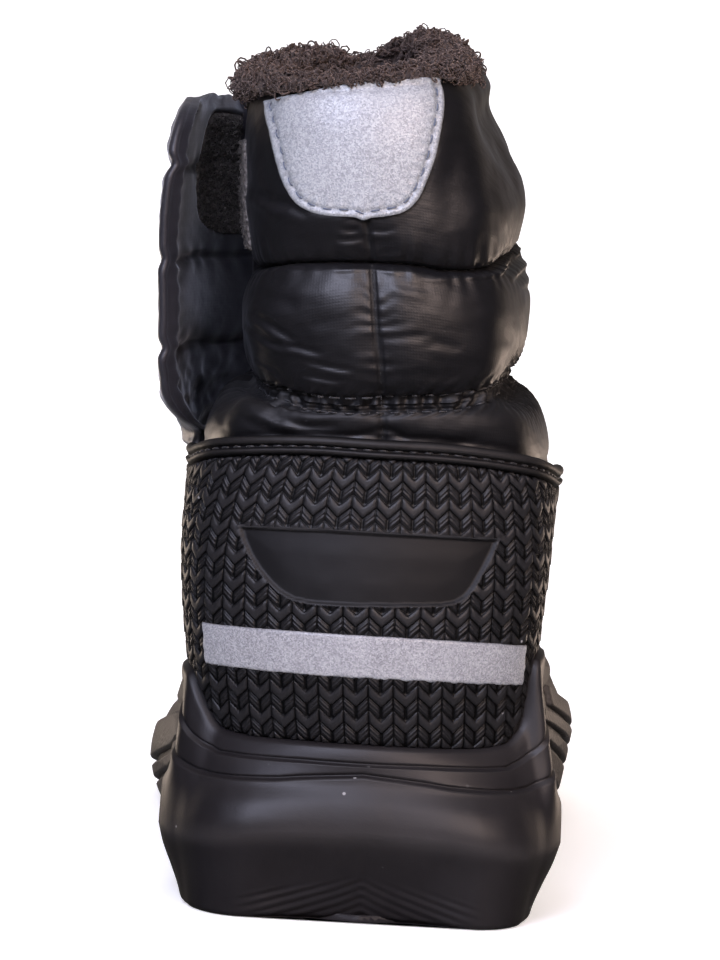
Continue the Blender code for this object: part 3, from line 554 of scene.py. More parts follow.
def normals_of(grid, closed_cols=False):
    """Unit normals of a grid of points, by its own neighbours."""
    if closed_cols:
        da = np.roll(grid, -1, 1) - np.roll(grid, 1, 1)
    else:
        da = np.gradient(grid, axis=1)
    du = np.gradient(grid, axis=0)
    n = np.cross(da, du)
    return n / np.maximum(np.linalg.norm(n, axis=-1, keepdims=True), 1e-12)


def strands(lines, radius, sides=4, taper=0.35, spin=None):
    """Tubes along many lines of the same number of points: (K, S, 3) gives points and faces of them all."""
    k, s, _ = lines.shape
    run = np.gradient(lines, axis=1)
    run /= np.maximum(np.linalg.norm(run, axis=-1, keepdims=True), 1e-12)
    ref = np.array([0.31, 0.52, 0.79]) if spin is None else spin[:, None, :]
    one = np.cross(run, np.broadcast_to(ref, run.shape))
    one /= np.maximum(np.linalg.norm(one, axis=-1, keepdims=True), 1e-9)
    two = np.cross(run, one)
    share = np.linspace(0, 1, s)
    thick = taper + (1 - taper) * np.clip(np.minimum(share, 1 - share) * 5, 0, 1) ** 0.5
    r = np.broadcast_to(np.asarray(radius, float).reshape(-1, 1), (k, s)) * thick
    around = np.arange(sides) * 2 * np.pi / sides
    ring = (lines[:, :, None, :] + r[:, :, None, None] * (np.cos(around)[None, None, :, None] * one[:, :, None, :]
                                                          + np.sin(around)[None, None, :, None] * two[:, :, None, :]))
    points = ring.reshape(-1, 3)
    a = grid_faces(s, sides, closed_cols=True)
    quads = (a[None] + (np.arange(k) * s * sides)[:, None, None]).reshape(-1, 4)
    caps = []
    for start in (0, (s - 1) * sides):
        for t in range(1, sides - 1):
            tri = [start, start + t, start + t + 1]
            caps.append(tri[::-1] if start == 0 else tri)
    tris = (np.array(caps)[None] + (np.arange(k) * s * sides)[:, None, None]).reshape(-1, 3)
    return points, quads[:, ::-1], tris[:, ::-1]


def stitch_lines(path, normal, pitch, length=0.72, sink=0.25, rise=0.16):
    """One short thread for each stitch along a path on a surface: it leaves one hole and goes into the next."""
    path, normal = np.asarray(path, float), np.asarray(normal, float)
    run = np.concatenate([[0], np.cumsum(np.linalg.norm(np.diff(path, axis=0), axis=1))])
    count = max(1, int(run[-1] / pitch))
    starts = (np.arange(count) + 0.5) * run[-1] / count
    at = starts[:, None] + np.linspace(-0.5, 0.5, 7)[None, :] * pitch * length
    at = np.clip(at, 0, run[-1])
    lines = np.stack([np.interp(at, run, path[:, k]) for k in range(3)], -1)
    ns = np.stack([np.interp(at, run, normal[:, k]) for k in range(3)], -1)
    hump = (-sink + (rise + sink) * np.array([0, 0.75, 0.97, 1, 0.97, 0.75, 0]))[None, :, None]
    return lines + ns * hump


# ================================================================ materials
def tree_of(name):
    made = bpy.data.materials.new(name)
    made.use_nodes = True
    return made, made.node_tree.nodes, made.node_tree.links, made.node_tree.nodes["Principled BSDF"]


class Nodes:
    """Short names for building a node tree."""

    def __init__(self, name):
        self.material, self.nodes, self.links, self.shader = tree_of(name)
        self.spot = self.nodes.new("ShaderNodeTexCoord")
        self.map = self.nodes.new("ShaderNodeUVMap")
        self.map.uv_map = "shoe"
        self.place = self.spot.outputs["Object"]
        self.sheet = self.map.outputs["UV"]

    def node(self, kind, **values):
        made = self.nodes.new("ShaderNode" + kind)
        for key, value in values.items():
            if hasattr(made, key):
                setattr(made, key, value)
        return made

    def put(self, node, pin, value):
        socket = node.inputs[pin]
        if isinstance(value, bpy.types.NodeSocket):
            self.links.new(value, socket)
        else:
            socket.default_value = value

    def scaled(self, vector, scale):
        made = self.node("Mapping")
        self.put(made, "Vector", vector)
        made.inputs["Scale"].default_value = scale if hasattr(scale, "__len__") else (scale,) * 3
        return made.outputs["Vector"]

    def noise(self, vector, scale, detail=3.0, rough=0.5, distort=0.0):
        made = self.node("TexNoise")
        self.put(made, "Vector", vector)
        made.inputs["Scale"].default_value = scale
        made.inputs["Detail"].default_value = detail
        made.inputs["Roughness"].default_value = rough
        made.inputs["Distortion"].default_value = distort
        return made.outputs["Fac"]

    def cells(self, vector, scale, feature="F1", out="Distance", smooth=0.0):
        made = self.node("TexVoronoi", feature=feature)
        self.put(made, "Vector", vector)
        made.inputs["Scale"].default_value = scale
        return made.outputs[out]

    def wave(self, vector, scale, axis="X", distort=0.0, detail=0.0, profile="SIN"):
        made = self.node("TexWave", wave_type="BANDS", bands_direction=axis, wave_profile=profile)
        self.put(made, "Vector", vector)
        made.inputs["Scale"].default_value = scale
        made.inputs["Distortion"].default_value = distort
        made.inputs["Detail"].default_value = detail
        return made.outputs["Fac"]

    def maths(self, do, a, b=None, c=None, clamp=False):
        made = self.node("Math", operation=do, use_clamp=clamp)
        for k, value in enumerate((a, b, c)):
            if value is not None:
                self.put(made, k, value)
        return made.outputs["Value"]

    def ramp(self, fac, stops, ease="LINEAR"):
        made = self.node("ValToRGB")
        self.put(made, "Fac", fac)
        bar = made.color_ramp
        bar.interpolation = ease
        while len(bar.elements) < len(stops):
            bar.elements.new(0.5)
        for element, (where, colour) in zip(bar.elements, stops):
            element.position = where
            element.color = (*colour, 1) if hasattr(colour, "__len__") else (colour, colour, colour, 1)
        return made.outputs["Color"]

    def mix(self, fac, a, b, blend="MIX"):
        made = self.node("Mix", data_type="RGBA", blend_type=blend)
        self.put(made, 0, fac)
        for pin, value in ((6, a), (7, b)):
            if hasattr(value, "__len__") and not isinstance(value, bpy.types.NodeSocket):
                value = (*value, 1)
            self.put(made, pin, value)
        return made.outputs[2]

    def bump(self, height, strength, distance, after=None):
        made = self.node("Bump")
        made.inputs["Strength"].default_value = strength
        made.inputs["Distance"].default_value = distance
        self.put(made, "Height", height)
        if after is not None:
            self.put(made, "Normal", after)
        return made.outputs["Normal"]

    def attribute(self, name="mark"):
        made = self.node("Attribute")
        made.attribute_name = name
        return made.outputs["Fac"]

    def set(self, **values):
        names = {"base": "Base Color", "rough": "Roughness", "metal": "Metallic", "normal": "Normal", "sheen": "Sheen Weight",
                 "sheen_rough": "Sheen Roughness", "sheen_tint": "Sheen Tint", "ior": "IOR", "specular": "Specular IOR Level",
                 "coat": "Coat Weight", "coat_rough": "Coat Roughness", "aniso": "Anisotropic"}
        for key, value in values.items():
            if key in ("base", "sheen_tint") and not isinstance(value, bpy.types.NodeSocket):
                value = (*value, 1)
            self.put(self.shader, names[key], value)
        return self.material


def nylon_finish(name="quilted_nylon", lift=1.0, sheen=0.03, rough_at=0.36):
    """Black coated nylon: a fine taffeta weave, silky sheen, faint drawn threads and handling marks, with painted shade
    where the mark attribute blackens and dulls it.
    """
    n = Nodes(name)
    weave_a = n.wave(n.scaled(n.sheet, 1.0), 0.62, "X")
    weave_b = n.wave(n.scaled(n.sheet, 1.0), 0.55, "Y")
    weave = n.maths("MULTIPLY", weave_a, weave_b)
    drawn = n.noise(n.scaled(n.sheet, (0.16, 0.9, 1)), 1.0, 4, 0.6, 0.4)
    soft = n.noise(n.place, 130, 4, 0.55)
    blotch = n.noise(n.place, 38, 3, 0.6)
    # lift multiplies the colour: above one, as on the flap's copy, it is painted light
    base = n.mix(n.ramp(blotch, [(0.3, 0.0), (0.7, 1.0)]), tuple(lift * c for c in (0.0034, 0.0034, 0.0044)), tuple(lift * c for c in (0.0064, 0.0062, 0.0075)))
    lint = n.ramp(n.noise(n.place, 900, 2, 0.5), [(0.0, 0.0), (0.74, 0.0), (0.8, 1.0)])
    base = n.mix(n.maths("MULTIPLY", lint, 0.09), base, (0.20, 0.20, 0.21))
    # painted shade: the mark blackens and dulls the cloth in the seams' grooves, along the ruching's stitch rows and
    # over the low chamber
    sewn = n.attribute("mark")
    base = n.mix(n.maths("MULTIPLY", sewn, 0.9), base, (0.0009, 0.0009, 0.0011))
    rough = n.maths("MULTIPLY_ADD", soft, 0.12, rough_at)
    rough = n.maths("ADD", rough, n.maths("MULTIPLY", drawn, 0.07))
    rough = n.maths("ADD", rough, n.maths("MULTIPLY", sewn, 0.4), clamp=True)
    crinkle = n.noise(n.scaled(n.sheet, (0.12, 0.30, 1)), 1.0, 2, 0.5, 0.0)
    normal = n.bump(drawn, 0.03, 0.0006)
    normal = n.bump(crinkle, 0.12, 0.0016, normal)
    normal = n.bump(soft, 0.12, 0.0012, normal)
    normal = n.bump(weave, 0.10, 0.00012, normal)
    return n.set(base=base, rough=rough, normal=normal, sheen=sheen, sheen_rough=0.3, sheen_tint=(0.85, 0.9, 1.0), ior=1.48, specular=0.5)


def rubber_finish(name, low, high, rough, grain=1.0, dust=1.0, stipple=0.0, scuffed_foot=False, ior=1.5):
    """Black moulded rubber: fine mould grain, uneven gloss, patches of dust and a few pale specks."""
    n = Nodes(name)
    blotch = n.noise(n.place, 46, 4, 0.6)
    fine = n.noise(n.place, 2600, 3, 0.6)
    cloud = n.noise(n.place, 12, 3, 0.65)
    base = n.mix(n.ramp(blotch, [(0.28, 0.0), (0.74, 1.0)]), low, high)
    base = n.mix(n.maths("MULTIPLY", n.ramp(cloud, [(0.45, 0.0), (0.75, 1.0)]), 0.16 * dust), base, (0.075, 0.068, 0.064))
    speck = n.cells(n.place, 230, "F1", "Distance")
    chance = n.noise(n.place, 61, 2, 0.5)
    speck = n.maths("MULTIPLY", n.ramp(speck, [(0.0, 1.0), (0.055, 1.0), (0.085, 0.0)]), n.ramp(chance, [(0.57, 0.0), (0.62, 1.0)]))
    base = n.mix(n.maths("MULTIPLY", speck, 0.5 * dust), base, (0.5, 0.5, 0.5))
    # the mark pales the rubber: painted highlight on raised rims, ridges, rolls and borders, and wear on the tread's
    # face
    wear_and_highlight = n.attribute("mark")
    base = n.mix(n.maths("MULTIPLY", wear_and_highlight, 0.22), base, (0.10, 0.092, 0.088))
    r = n.maths("MULTIPLY_ADD", blotch, 0.18, rough - 0.09)
    r = n.maths("ADD", r, n.maths("MULTIPLY", fine, 0.08))
    normal = n.bump(fine, 0.16 * grain, 0.00012)
    normal = n.bump(n.noise(n.place, 420, 3, 0.6), 0.10, 0.0003, normal)
    if stipple:
        dots = n.cells(n.place, 1150, "F1", "Distance")
        normal = n.bump(dots, stipple, 0.00025, normal)
    if scuffed_foot:  # duller near the ground, where it has been walked on
        split = n.node("SeparateXYZ")
        n.put(split, "Vector", n.place)
        n.put(n.shader, "Specular IOR Level", n.ramp(n.maths("MULTIPLY_ADD", blotch, 0.06, n.maths("MULTIPLY", split.outputs["Z"], 40.0)), [(0.0, 0.16), (0.36, 0.22), (0.80, 0.33), (1.0, 0.33)]))
    return n.set(base=base, rough=r, normal=normal, ior=ior)


def tape_finish(name, low, high, grain):
    """Grey retroreflective film: glass beads that catch the light one by one."""
    n = Nodes(name)
    beads = n.node("TexVoronoi", feature="F1")
    n.put(beads, "Vector", n.place)
    beads.inputs["Scale"].default_value = grain
    shade = n.node("SeparateColor")
    n.put(shade, "Color", beads.outputs["Color"])
    grit = n.noise(n.place, grain * 0.42, 3, 0.75)
    pick = n.maths("MULTIPLY_ADD", shade.outputs["Red"], 0.85, n.maths("MULTIPLY_ADD", grit, 0.8, -0.36), clamp=True)
    cloud = n.noise(n.place, 150, 4, 0.6)
    wide = n.noise(n.place, 34, 3, 0.55)
    base = n.mix(pick, low, high)
    base = n.mix(n.maths("MULTIPLY", n.ramp(cloud, [(0.38, 1.0), (0.62, 0.0)]), 0.12), base, tuple(0.78 * c for c in low))
    base = n.mix(n.maths("MULTIPLY", n.ramp(wide, [(0.35, 0.0), (0.68, 1.0)]), 0.28), base, tuple(min(1, 1.1 * c) for c in high))
    # painted shade: the mark darkens the film along its pressed-down edges and in the tab's stitch groove
    edge = n.attribute("mark")
    base = n.mix(n.maths("MULTIPLY", edge, 0.62), base, tuple(0.42 * c for c in low))
    rough = n.maths("MULTIPLY_ADD", shade.outputs["Green"], 0.25, 0.36)
    normal = n.bump(beads.outputs["Distance"], 0.22, 0.00012)
    normal = n.bump(cloud, 0.16, 0.0004, normal)
    return n.set(base=base, rough=rough, normal=normal, metal=0.15, ior=1.5)


def pile_finish(name, low, high, rough=0.7):
    """Dark curly pile: brown-black yarn, paler where it is worn at the tips."""
    n = Nodes(name)
    tuft = n.noise(n.place, 260, 4, 0.65)
    tint = n.noise(n.place, 60, 3, 0.6)
    base = n.mix(n.ramp(tuft, [(0.3, 0.0), (0.75, 1.0)]), low, high)
    base = n.mix(n.maths("MULTIPLY", tint, 0.35), base, tuple(0.55 * c for c in low))
    tip = n.attribute("mark")
    base = n.mix(n.maths("MULTIPLY", tip, 0.45), base, tuple(min(1, 2.1 * c) for c in high))
    curl = n.cells(n.scaled(n.place, 1.0), 720, "F1", "Distance")
    fibre = n.noise(n.place, 2300, 3, 0.7, 1.5)
    normal = n.bump(curl, 0.6, 0.0006)
    normal = n.bump(fibre, 0.5, 0.0003, normal)
    return n.set(base=base, rough=rough, normal=normal, sheen=0.35, sheen_rough=0.5, sheen_tint=(0.9, 0.7, 0.6), ior=1.45)


def thread_finish(name, colour, rough=0.55):
    """Twisted sewing thread."""
    n = Nodes(name)
    ply = n.noise(n.place, 3200, 2, 0.5, 0.8)
    base = n.mix(n.ramp(ply, [(0.3, 0.0), (0.7, 1.0)]), tuple(0.7 * c for c in colour), tuple(min(1, 1.15 * c) for c in colour))
    return n.set(base=base, rough=n.maths("MULTIPLY_ADD", ply, 0.2, rough - 0.1), normal=n.bump(ply, 0.4, 0.0001), sheen=0.2, sheen_rough=0.4)


def hook_finish():
    n = Nodes("hook_tape")
    tuft = n.noise(n.place, 1500, 3, 0.7)
    # painted light: the tape's colour is raised well above black hook tape's own, for the hook patch that sits in shade
    base = n.mix(n.ramp(tuft, [(0.35, 0.0), (0.7, 1.0)]), (0.022, 0.020, 0.0185), (0.15, 0.135, 0.125))
    normal = n.bump(n.cells(n.place, 1500, "F1", "Distance"), 0.8, 0.0004)
    return n.set(base=base, rough=n.maths("MULTIPLY_ADD", tuft, 0.25, 0.5), normal=normal, sheen=0.03, sheen_rough=0.4)


def felt_finish():
    n = Nodes("footbed_felt")
    fuzz = n.noise(n.place, 1400, 4, 0.7, 0.5)
    blot = n.noise(n.place, 70, 3, 0.6)
    base = n.mix(n.ramp(fuzz, [(0.3, 0.0), (0.75, 1.0)]), (0.022, 0.019, 0.018), (0.062, 0.054, 0.050))
    base = n.mix(n.maths("MULTIPLY", blot, 0.4), base, (0.016, 0.014, 0.013))
    return n.set(base=base, rough=n.maths("MULTIPLY_ADD", fuzz, 0.15, 0.8), normal=n.bump(fuzz, 0.6, 0.0005), sheen=0.3, sheen_rough=0.6)


NYLON = nylon_finish()
# painted light: the flap's copy of the nylon has its colour raised 4.4 times, for a face that the lamps leave in shade
LIT_FLAP_NYLON = nylon_finish("flap_nylon", 4.4, 0.42, 0.36)
SOLE_RUBBER = rubber_finish("sole_rubber", (0.0075, 0.0066, 0.0074), (0.0124, 0.0110, 0.0120), 0.44, scuffed_foot=True)
# painted light: the side walls' rubber is brighter and warmer than the sole's, in place of light on the sides; its
# stipple is its own
LIT_SIDE_RUBBER = rubber_finish("sole_side_rubber_painted_light", (0.0150, 0.0122, 0.0113), (0.0290, 0.0232, 0.0214), 0.52, 1.0, 1.3, 0.6)
BINDING_RUBBER = rubber_finish("binding_rubber", (0.0020, 0.0019, 0.0023), (0.0034, 0.0032, 0.0037), 0.50, 0.8, 0.4, ior=1.33)
TOE_RUBBER = rubber_finish("toe_rubber", (0.011, 0.011, 0.0125), (0.018, 0.0175, 0.019), 0.46, 1.2, 0.7, 0.3)
TAB_FILM = tape_finish("reflective_tape", (0.170, 0.182, 0.204), (0.425, 0.45, 0.465), 3500)
STRIP_FILM = tape_finish("reflective_strip", (0.146, 0.150, 0.168), (0.41, 0.42, 0.435), 3700)
PILE = pile_finish("dark_pile", (0.010, 0.0062, 0.0055), (0.034, 0.022, 0.019))
CURL = pile_finish("pile_yarn", (0.012, 0.0074, 0.0064), (0.044, 0.0275, 0.0235), 0.6)
LIGHT_THREAD = thread_finish("light_thread", (0.10, 0.125, 0.18))
SEAM_THREAD = thread_finish("seam_thread", (0.042, 0.040, 0.042), 0.4)
BLACK_THREAD = thread_finish("black_thread", (0.020, 0.020, 0.022), 0.45)
HOOK = hook_finish()
FELT = felt_finish()


# ================================================================ measures shared by the pieces
def spaced(points_of, low, high, count, weight=None):
    """Angles whose points stand evenly along a curve, or closer where the weight is high."""
    fine = np.linspace(low, high, 2401)
    d = np.linalg.norm(np.diff(points_of(fine), axis=0), axis=1)
    if weight is not None:
        d = d * weight((fine[1:] + fine[:-1]) / 2)
    run = np.concatenate([[0], np.cumsum(d)])
    return np.interp(np.linspace(0, run[-1], count), run, fine)


def lengths(grid, axis):
    """Running length along an axis of a grid of points."""
    d = np.linalg.norm(np.diff(grid, axis=axis), axis=-1)
    pad = [(0, 0), (0, 0)]
    pad[axis] = (1, 0)
    return np.pad(np.cumsum(d, axis=axis), pad)


def sheet_uv(grid, middle=None):
    """Coordinates in mm over a grid: across from its middle column and up from its first row."""
    across = lengths(grid, 1)
    middle = grid.shape[1] // 2 if middle is None else middle
    return np.stack([across - across[:, middle:middle + 1], lengths(grid, 0)], -1)


def close_back(soup, outer, inner, first, stride=4, kind=0):
    """Backs a fine open grid with a coarser one, joined along the edge, so that the piece is closed."""
    rows, cols = outer.shape[:2]
    rs = np.unique(np.append(np.arange(0, rows, stride), rows - 1))
    cs = np.unique(np.append(np.arange(0, cols, stride), cols - 1))
    back = inner[np.ix_(rs, cs)]
    quads = grid_faces(len(rs), len(cs))[:, ::-1]
    start = soup.add(back, quads, kind=kind)
    fine = lambda r, c: first + r * cols + c
    coarse = lambda r, c: start + r * len(cs) + c
    loop_f = [fine(0, c) for c in range(cols)] + [fine(r, cols - 1) for r in range(1, rows)]
    loop_f += [fine(rows - 1, c) for c in range(cols - 2, -1, -1)] + [fine(r, 0) for r in range(rows - 2, 0, -1)]
    loop_c = [(coarse(0, i), int(c)) for i, c in enumerate(cs)]
    loop_c += [(coarse(i, len(cs) - 1), cols - 1 + int(rs[i])) for i in range(1, len(rs))]
    loop_c += [(coarse(len(rs) - 1, i), cols - 1 + rows - 1 + (cols - 1 - int(cs[i]))) for i in range(len(cs) - 2, -1, -1)]
    loop_c += [(coarse(i, 0), 2 * (cols - 1) + rows - 1 + (rows - 1 - int(rs[i]))) for i in range(len(rs) - 2, 0, -1)]
    tris, total = [], len(loop_f)
    for k, (vertex, at) in enumerate(loop_c):
        following, until = loop_c[(k + 1) % len(loop_c)]
        until = until if until > at else total
        half = (at + until) // 2
        for j in range(at, until):
            owner = vertex if j < half else following
            tris.append((loop_f[j % total], owner, loop_f[(j + 1) % total]))
        tris.append((loop_f[half % total], vertex, following))
    soup.tris.append(np.array(tris))
    soup.kind3.append(np.full(len(tris), kind))


def table(points, x):
    rows = np.asarray(points, float)
    return np.interp(x, rows[:, 0], rows[:, 1])


# ================================================================ the upper
CENTRE_SEAM = ((88, -0.3), (93.3, -0.6), (107, -1.9), (114.4, -3.0), (120.2, -3.7), (126.2, -4.6), (136, -6.2), (160, -9.0))  # height, x
SEAM_WAVE = ((-30, -4.0), (-26.2, -3.1), (-23.2, -1.3), (-19.4, -0.2), (-16.5, 0.1), (-10.7, 0.4), (-6.5, 0.3), (0.8, -0.1), (4.2, -0.6), (8.3, -1.6),
             (12, -2.1), (16.2, -2.3), (17.4, -2.1), (19.4, -1.8), (21.8, -1.4), (23.9, -0.3), (27, 0))  # x, and how far the middle seam leaves its ring
RUCHE_WAVE = ((-30, 0.0), (-20, 0.4), (-15, -0.9), (-8, -1.4), (-1.5, -1.0), (6, -0.9), (12, -1.0), (18, 0.1), (25, 0.8), (30, 0.6))
# creases, listed one by one: points (x, height), half width, depth, ridge beside it (its sign says on which side)
CREASES = (
    (((-26.5, 140.0), (-23.1, 138.6), (-19.4, 136.6)), 0.9, 0.55, 0.9),
    (((-21.5, 138.9), (-18.6, 137.2), (-15.6, 135.6)), 0.8, 0.40, 0.5),
    (((-10.8, 133.6), (-8.8, 133.3), (-6.9, 133.9)), 0.45, 0.22, 0.8),
    (((-11.4, 131.5), (-8.7, 131.3), (-6.6, 132.0)), 0.45, 0.22, 0.8),
    (((-5.6, 133.4), (-3.4, 133.3), (-1.0, 134.0)), 0.45, 0.20, 0.8),
    (((-5.4, 129.6), (-2.6, 129.3), (1.0, 129.9)), 0.5, 0.20, 0.8),
    (((8.0, 161.0), (9.0, 150.0), (8.2, 141.0), (8.9, 134.0)), 1.9, 0.30, 0.5),
    (((14.6, 161.0), (16.2, 150.0), (15.6, 141.0), (16.8, 131.5)), 1.6, 0.30, 0.6),
    (((-24.0, 158.0), (-24.6, 150.0), (-23.2, 143.0)), 1.4, 0.35, 0.4),
    (((-23.4, 116.3), (-20.6, 114.8), (-18.3, 112.8), (-16.0, 111.4)), 0.62, 0.46, 0.8),
    (((-24.4, 113.8), (-22.0, 112.4), (-19.6, 110.4), (-17.6, 109.4)), 0.50, 0.28, 0.8),
    (((-21.0, 110.9), (-16.0, 110.3), (-11.7, 109.4)), 0.60, 0.32, 0.9),
    (((-14.9, 107.9), (-10.6, 107.0), (-6.2, 106.6)), 0.52, 0.30, 0.8),
    (((-15.8, 105.0), (-12.0, 104.5), (-8.4, 104.2)), 0.45, 0.24, 0.7),
    (((-22.6, 107.2), (-20.0, 105.4), (-18.2, 102.8)), 0.55, 0.28, 0.8),
    (((-24.2, 119.6), (-20.6, 119.4), (-16.0, 118.4)), 1.3, 0.28, 0.5),
    (((-2.8, 116.0), (-0.5, 115.9), (3.4, 116.5)), 0.9, 0.16, 0.6),
    (((-2.3, 113.2), (1.2, 113.7), (5.4, 113.9)), 0.8, 0.18, 0.6),
    (((6.2, 112.9), (8.6, 112.4), (11.6, 111.4)), 1.0, 0.22, 0.6),
    (((4.0, 107.2), (9.0, 106.2), (14.4, 106.9)), 1.2, 0.20, 0.5),
    (((-1.0, 123.9), (2.4, 123.2), (6.0, 122.8)), 0.8, 0.20, 0.6),
    (((2.6, 127.2), (5.4, 126.3), (8.6, 126.1), (11.6, 126.9)), 0.7, 0.55, 0.7),
    (((18.6, 125.6), (21.0, 127.2), (23.4, 129.4)), 0.6, 0.75, 0.8),
    (((20.4, 124.2), (23.0, 125.8), (25.4, 127.8)), 0.65, 0.65, 0.7),
    (((16.4, 126.4), (18.8, 128.2), (20.8, 130.6)), 0.6, 0.6, 0.7),
    (((22.4, 121.9), (24.6, 123.6), (26.6, 125.6)), 0.7, 0.5, 0.6),
    (((-27.6, 94.6), (-22.4, 93.4), (-17.0, 92.5)), 0.9, 0.40, -0.9),
    (((-22.0, 95.9), (-15.5, 94.9), (-9.0, 95.4)), 0.8, 0.55, 0.6),
    (((-17.8, 97.4), (-13.6, 97.0), (-9.0, 97.6)), 0.6, 0.30, 0.6),
    (((-3.4, 94.6), (-0.9, 95.2), (1.6, 94.9), (4.2, 93.4)), 0.65, 0.50, 0.8),
    (((-7.0, 93.4), (-4.4, 94.4), (-2.0, 94.2)), 0.6, 0.35, 0.8),
    (((-29.0, 97.8), (-25.6, 98.6), (-22.6, 100.2)), 0.8, 0.8, 0.7),
    (((-31.6, 93.0), (-30.0, 95.6), (-27.6, 97.6)), 0.8, 0.5, 0.6),
    (((6.0, 97.4), (11.0, 96.8), (16.0, 97.8)), 1.2, 0.22, 0.5),
    (((9.0, 92.4), (13.6, 92.8), (17.6, 94.2)), 0.9, 0.24, 0.5),
)
TAB_LEFT = ((-8.0, 135.9), (-13.0, 136.0), (-16.1, 136.8), (-18.5, 138.5), (-20.7, 142.1), (-22.4, 146.9), (-23.9, 151.5), (-25.2, 154.2), (-26.4, 156.9))
TAB_RIGHT = ((-5.4, 135.9), (-3.1, 136.3), (-0.2, 137.1), (1.7, 138.6), (3.2, 141.2), (4.9, 147.0), (5.9, 153.6), (6.6, 159.0), (6.4, 163.4))
TAB_FOOT = (-6.7, 135.2)  # the little point over the seam


def tab_outline(count=120):
    """The tab's edge in (x, height), from its foot up the left and up the right."""
    def side(rows):
        line = soft_polyline(np.vstack([[TAB_FOOT], rows]), 200)
        run = np.concatenate([[0], np.cumsum(np.hypot(*np.diff(line, axis=0).T))])
        at = np.linspace(0, run[-1], count)
        return np.stack([np.interp(at, run, line[:, 0]), np.interp(at, run, line[:, 1])], -1)
    return side(TAB_LEFT), side(TAB_RIGHT)


TAB_L, TAB_R = tab_outline()


def tab_mask(x, z, grow=0.0):
    """One inside the reflective tab, and nothing outside it."""
    left = np.interp(z, TAB_L[:, 1], TAB_L[:, 0])
    right = np.interp(z, TAB_R[:, 1], TAB_R[:, 0])
    return step(0, 1.2, x - left + grow) * step(0, 1.2, right - x + grow) * step(135.2 - grow, 137 - grow, z)


def warped(angle, u, x):
    """Ring numbers moved so that the two seams wander as sewn."""
    near = 1 - step(84, 112, np.abs(angle))
    rise, low = table(SEAM_WAVE, x) * near, table(RUCHE_WAVE, x) * near
    return u - rise / 24.0 * bell(u - RING["seam"], 0.42) - low / np.where(u < RING["ruche"], 7.0, 25.5) * bell(u - RING["ruche"], 0.30)


def follow_seams(angle, v):
    """Ring numbers whose warped ones are those given, so that rows of the mesh run along the seams."""
    u = v.copy()
    for _ in range(5):
        u = v + (u - warped(angle, u, base(angle, u)[..., 0]))
    return u


def smooth_swell(angle, u, x):
    """The quilting's swell, with its seams where they were sewn."""
    v = warped(angle, u, x)
    out = padding(angle, np.clip(v, 0, RING["collar"]))
    back = bell(angle / 95.0, 1.0)
    # fuller low in the upper chamber, and drawn in under the collar
    out = out + 0.5 * bell((u - 9.35), 0.22) * back - 0.3 * bell(u - 10.8, 0.25) * (1 - tab_mask(x, 150.0))
    waist = step(18, 80, angle) * (1 - step(125, 150, angle))
    out = out + waist * (-3.3 * bell(u - 10.3, 0.46) + 0.9 * bell(u - 9.4, 0.25) - 1.9 * bell(u - 11.0, 0.25))
    return out, v


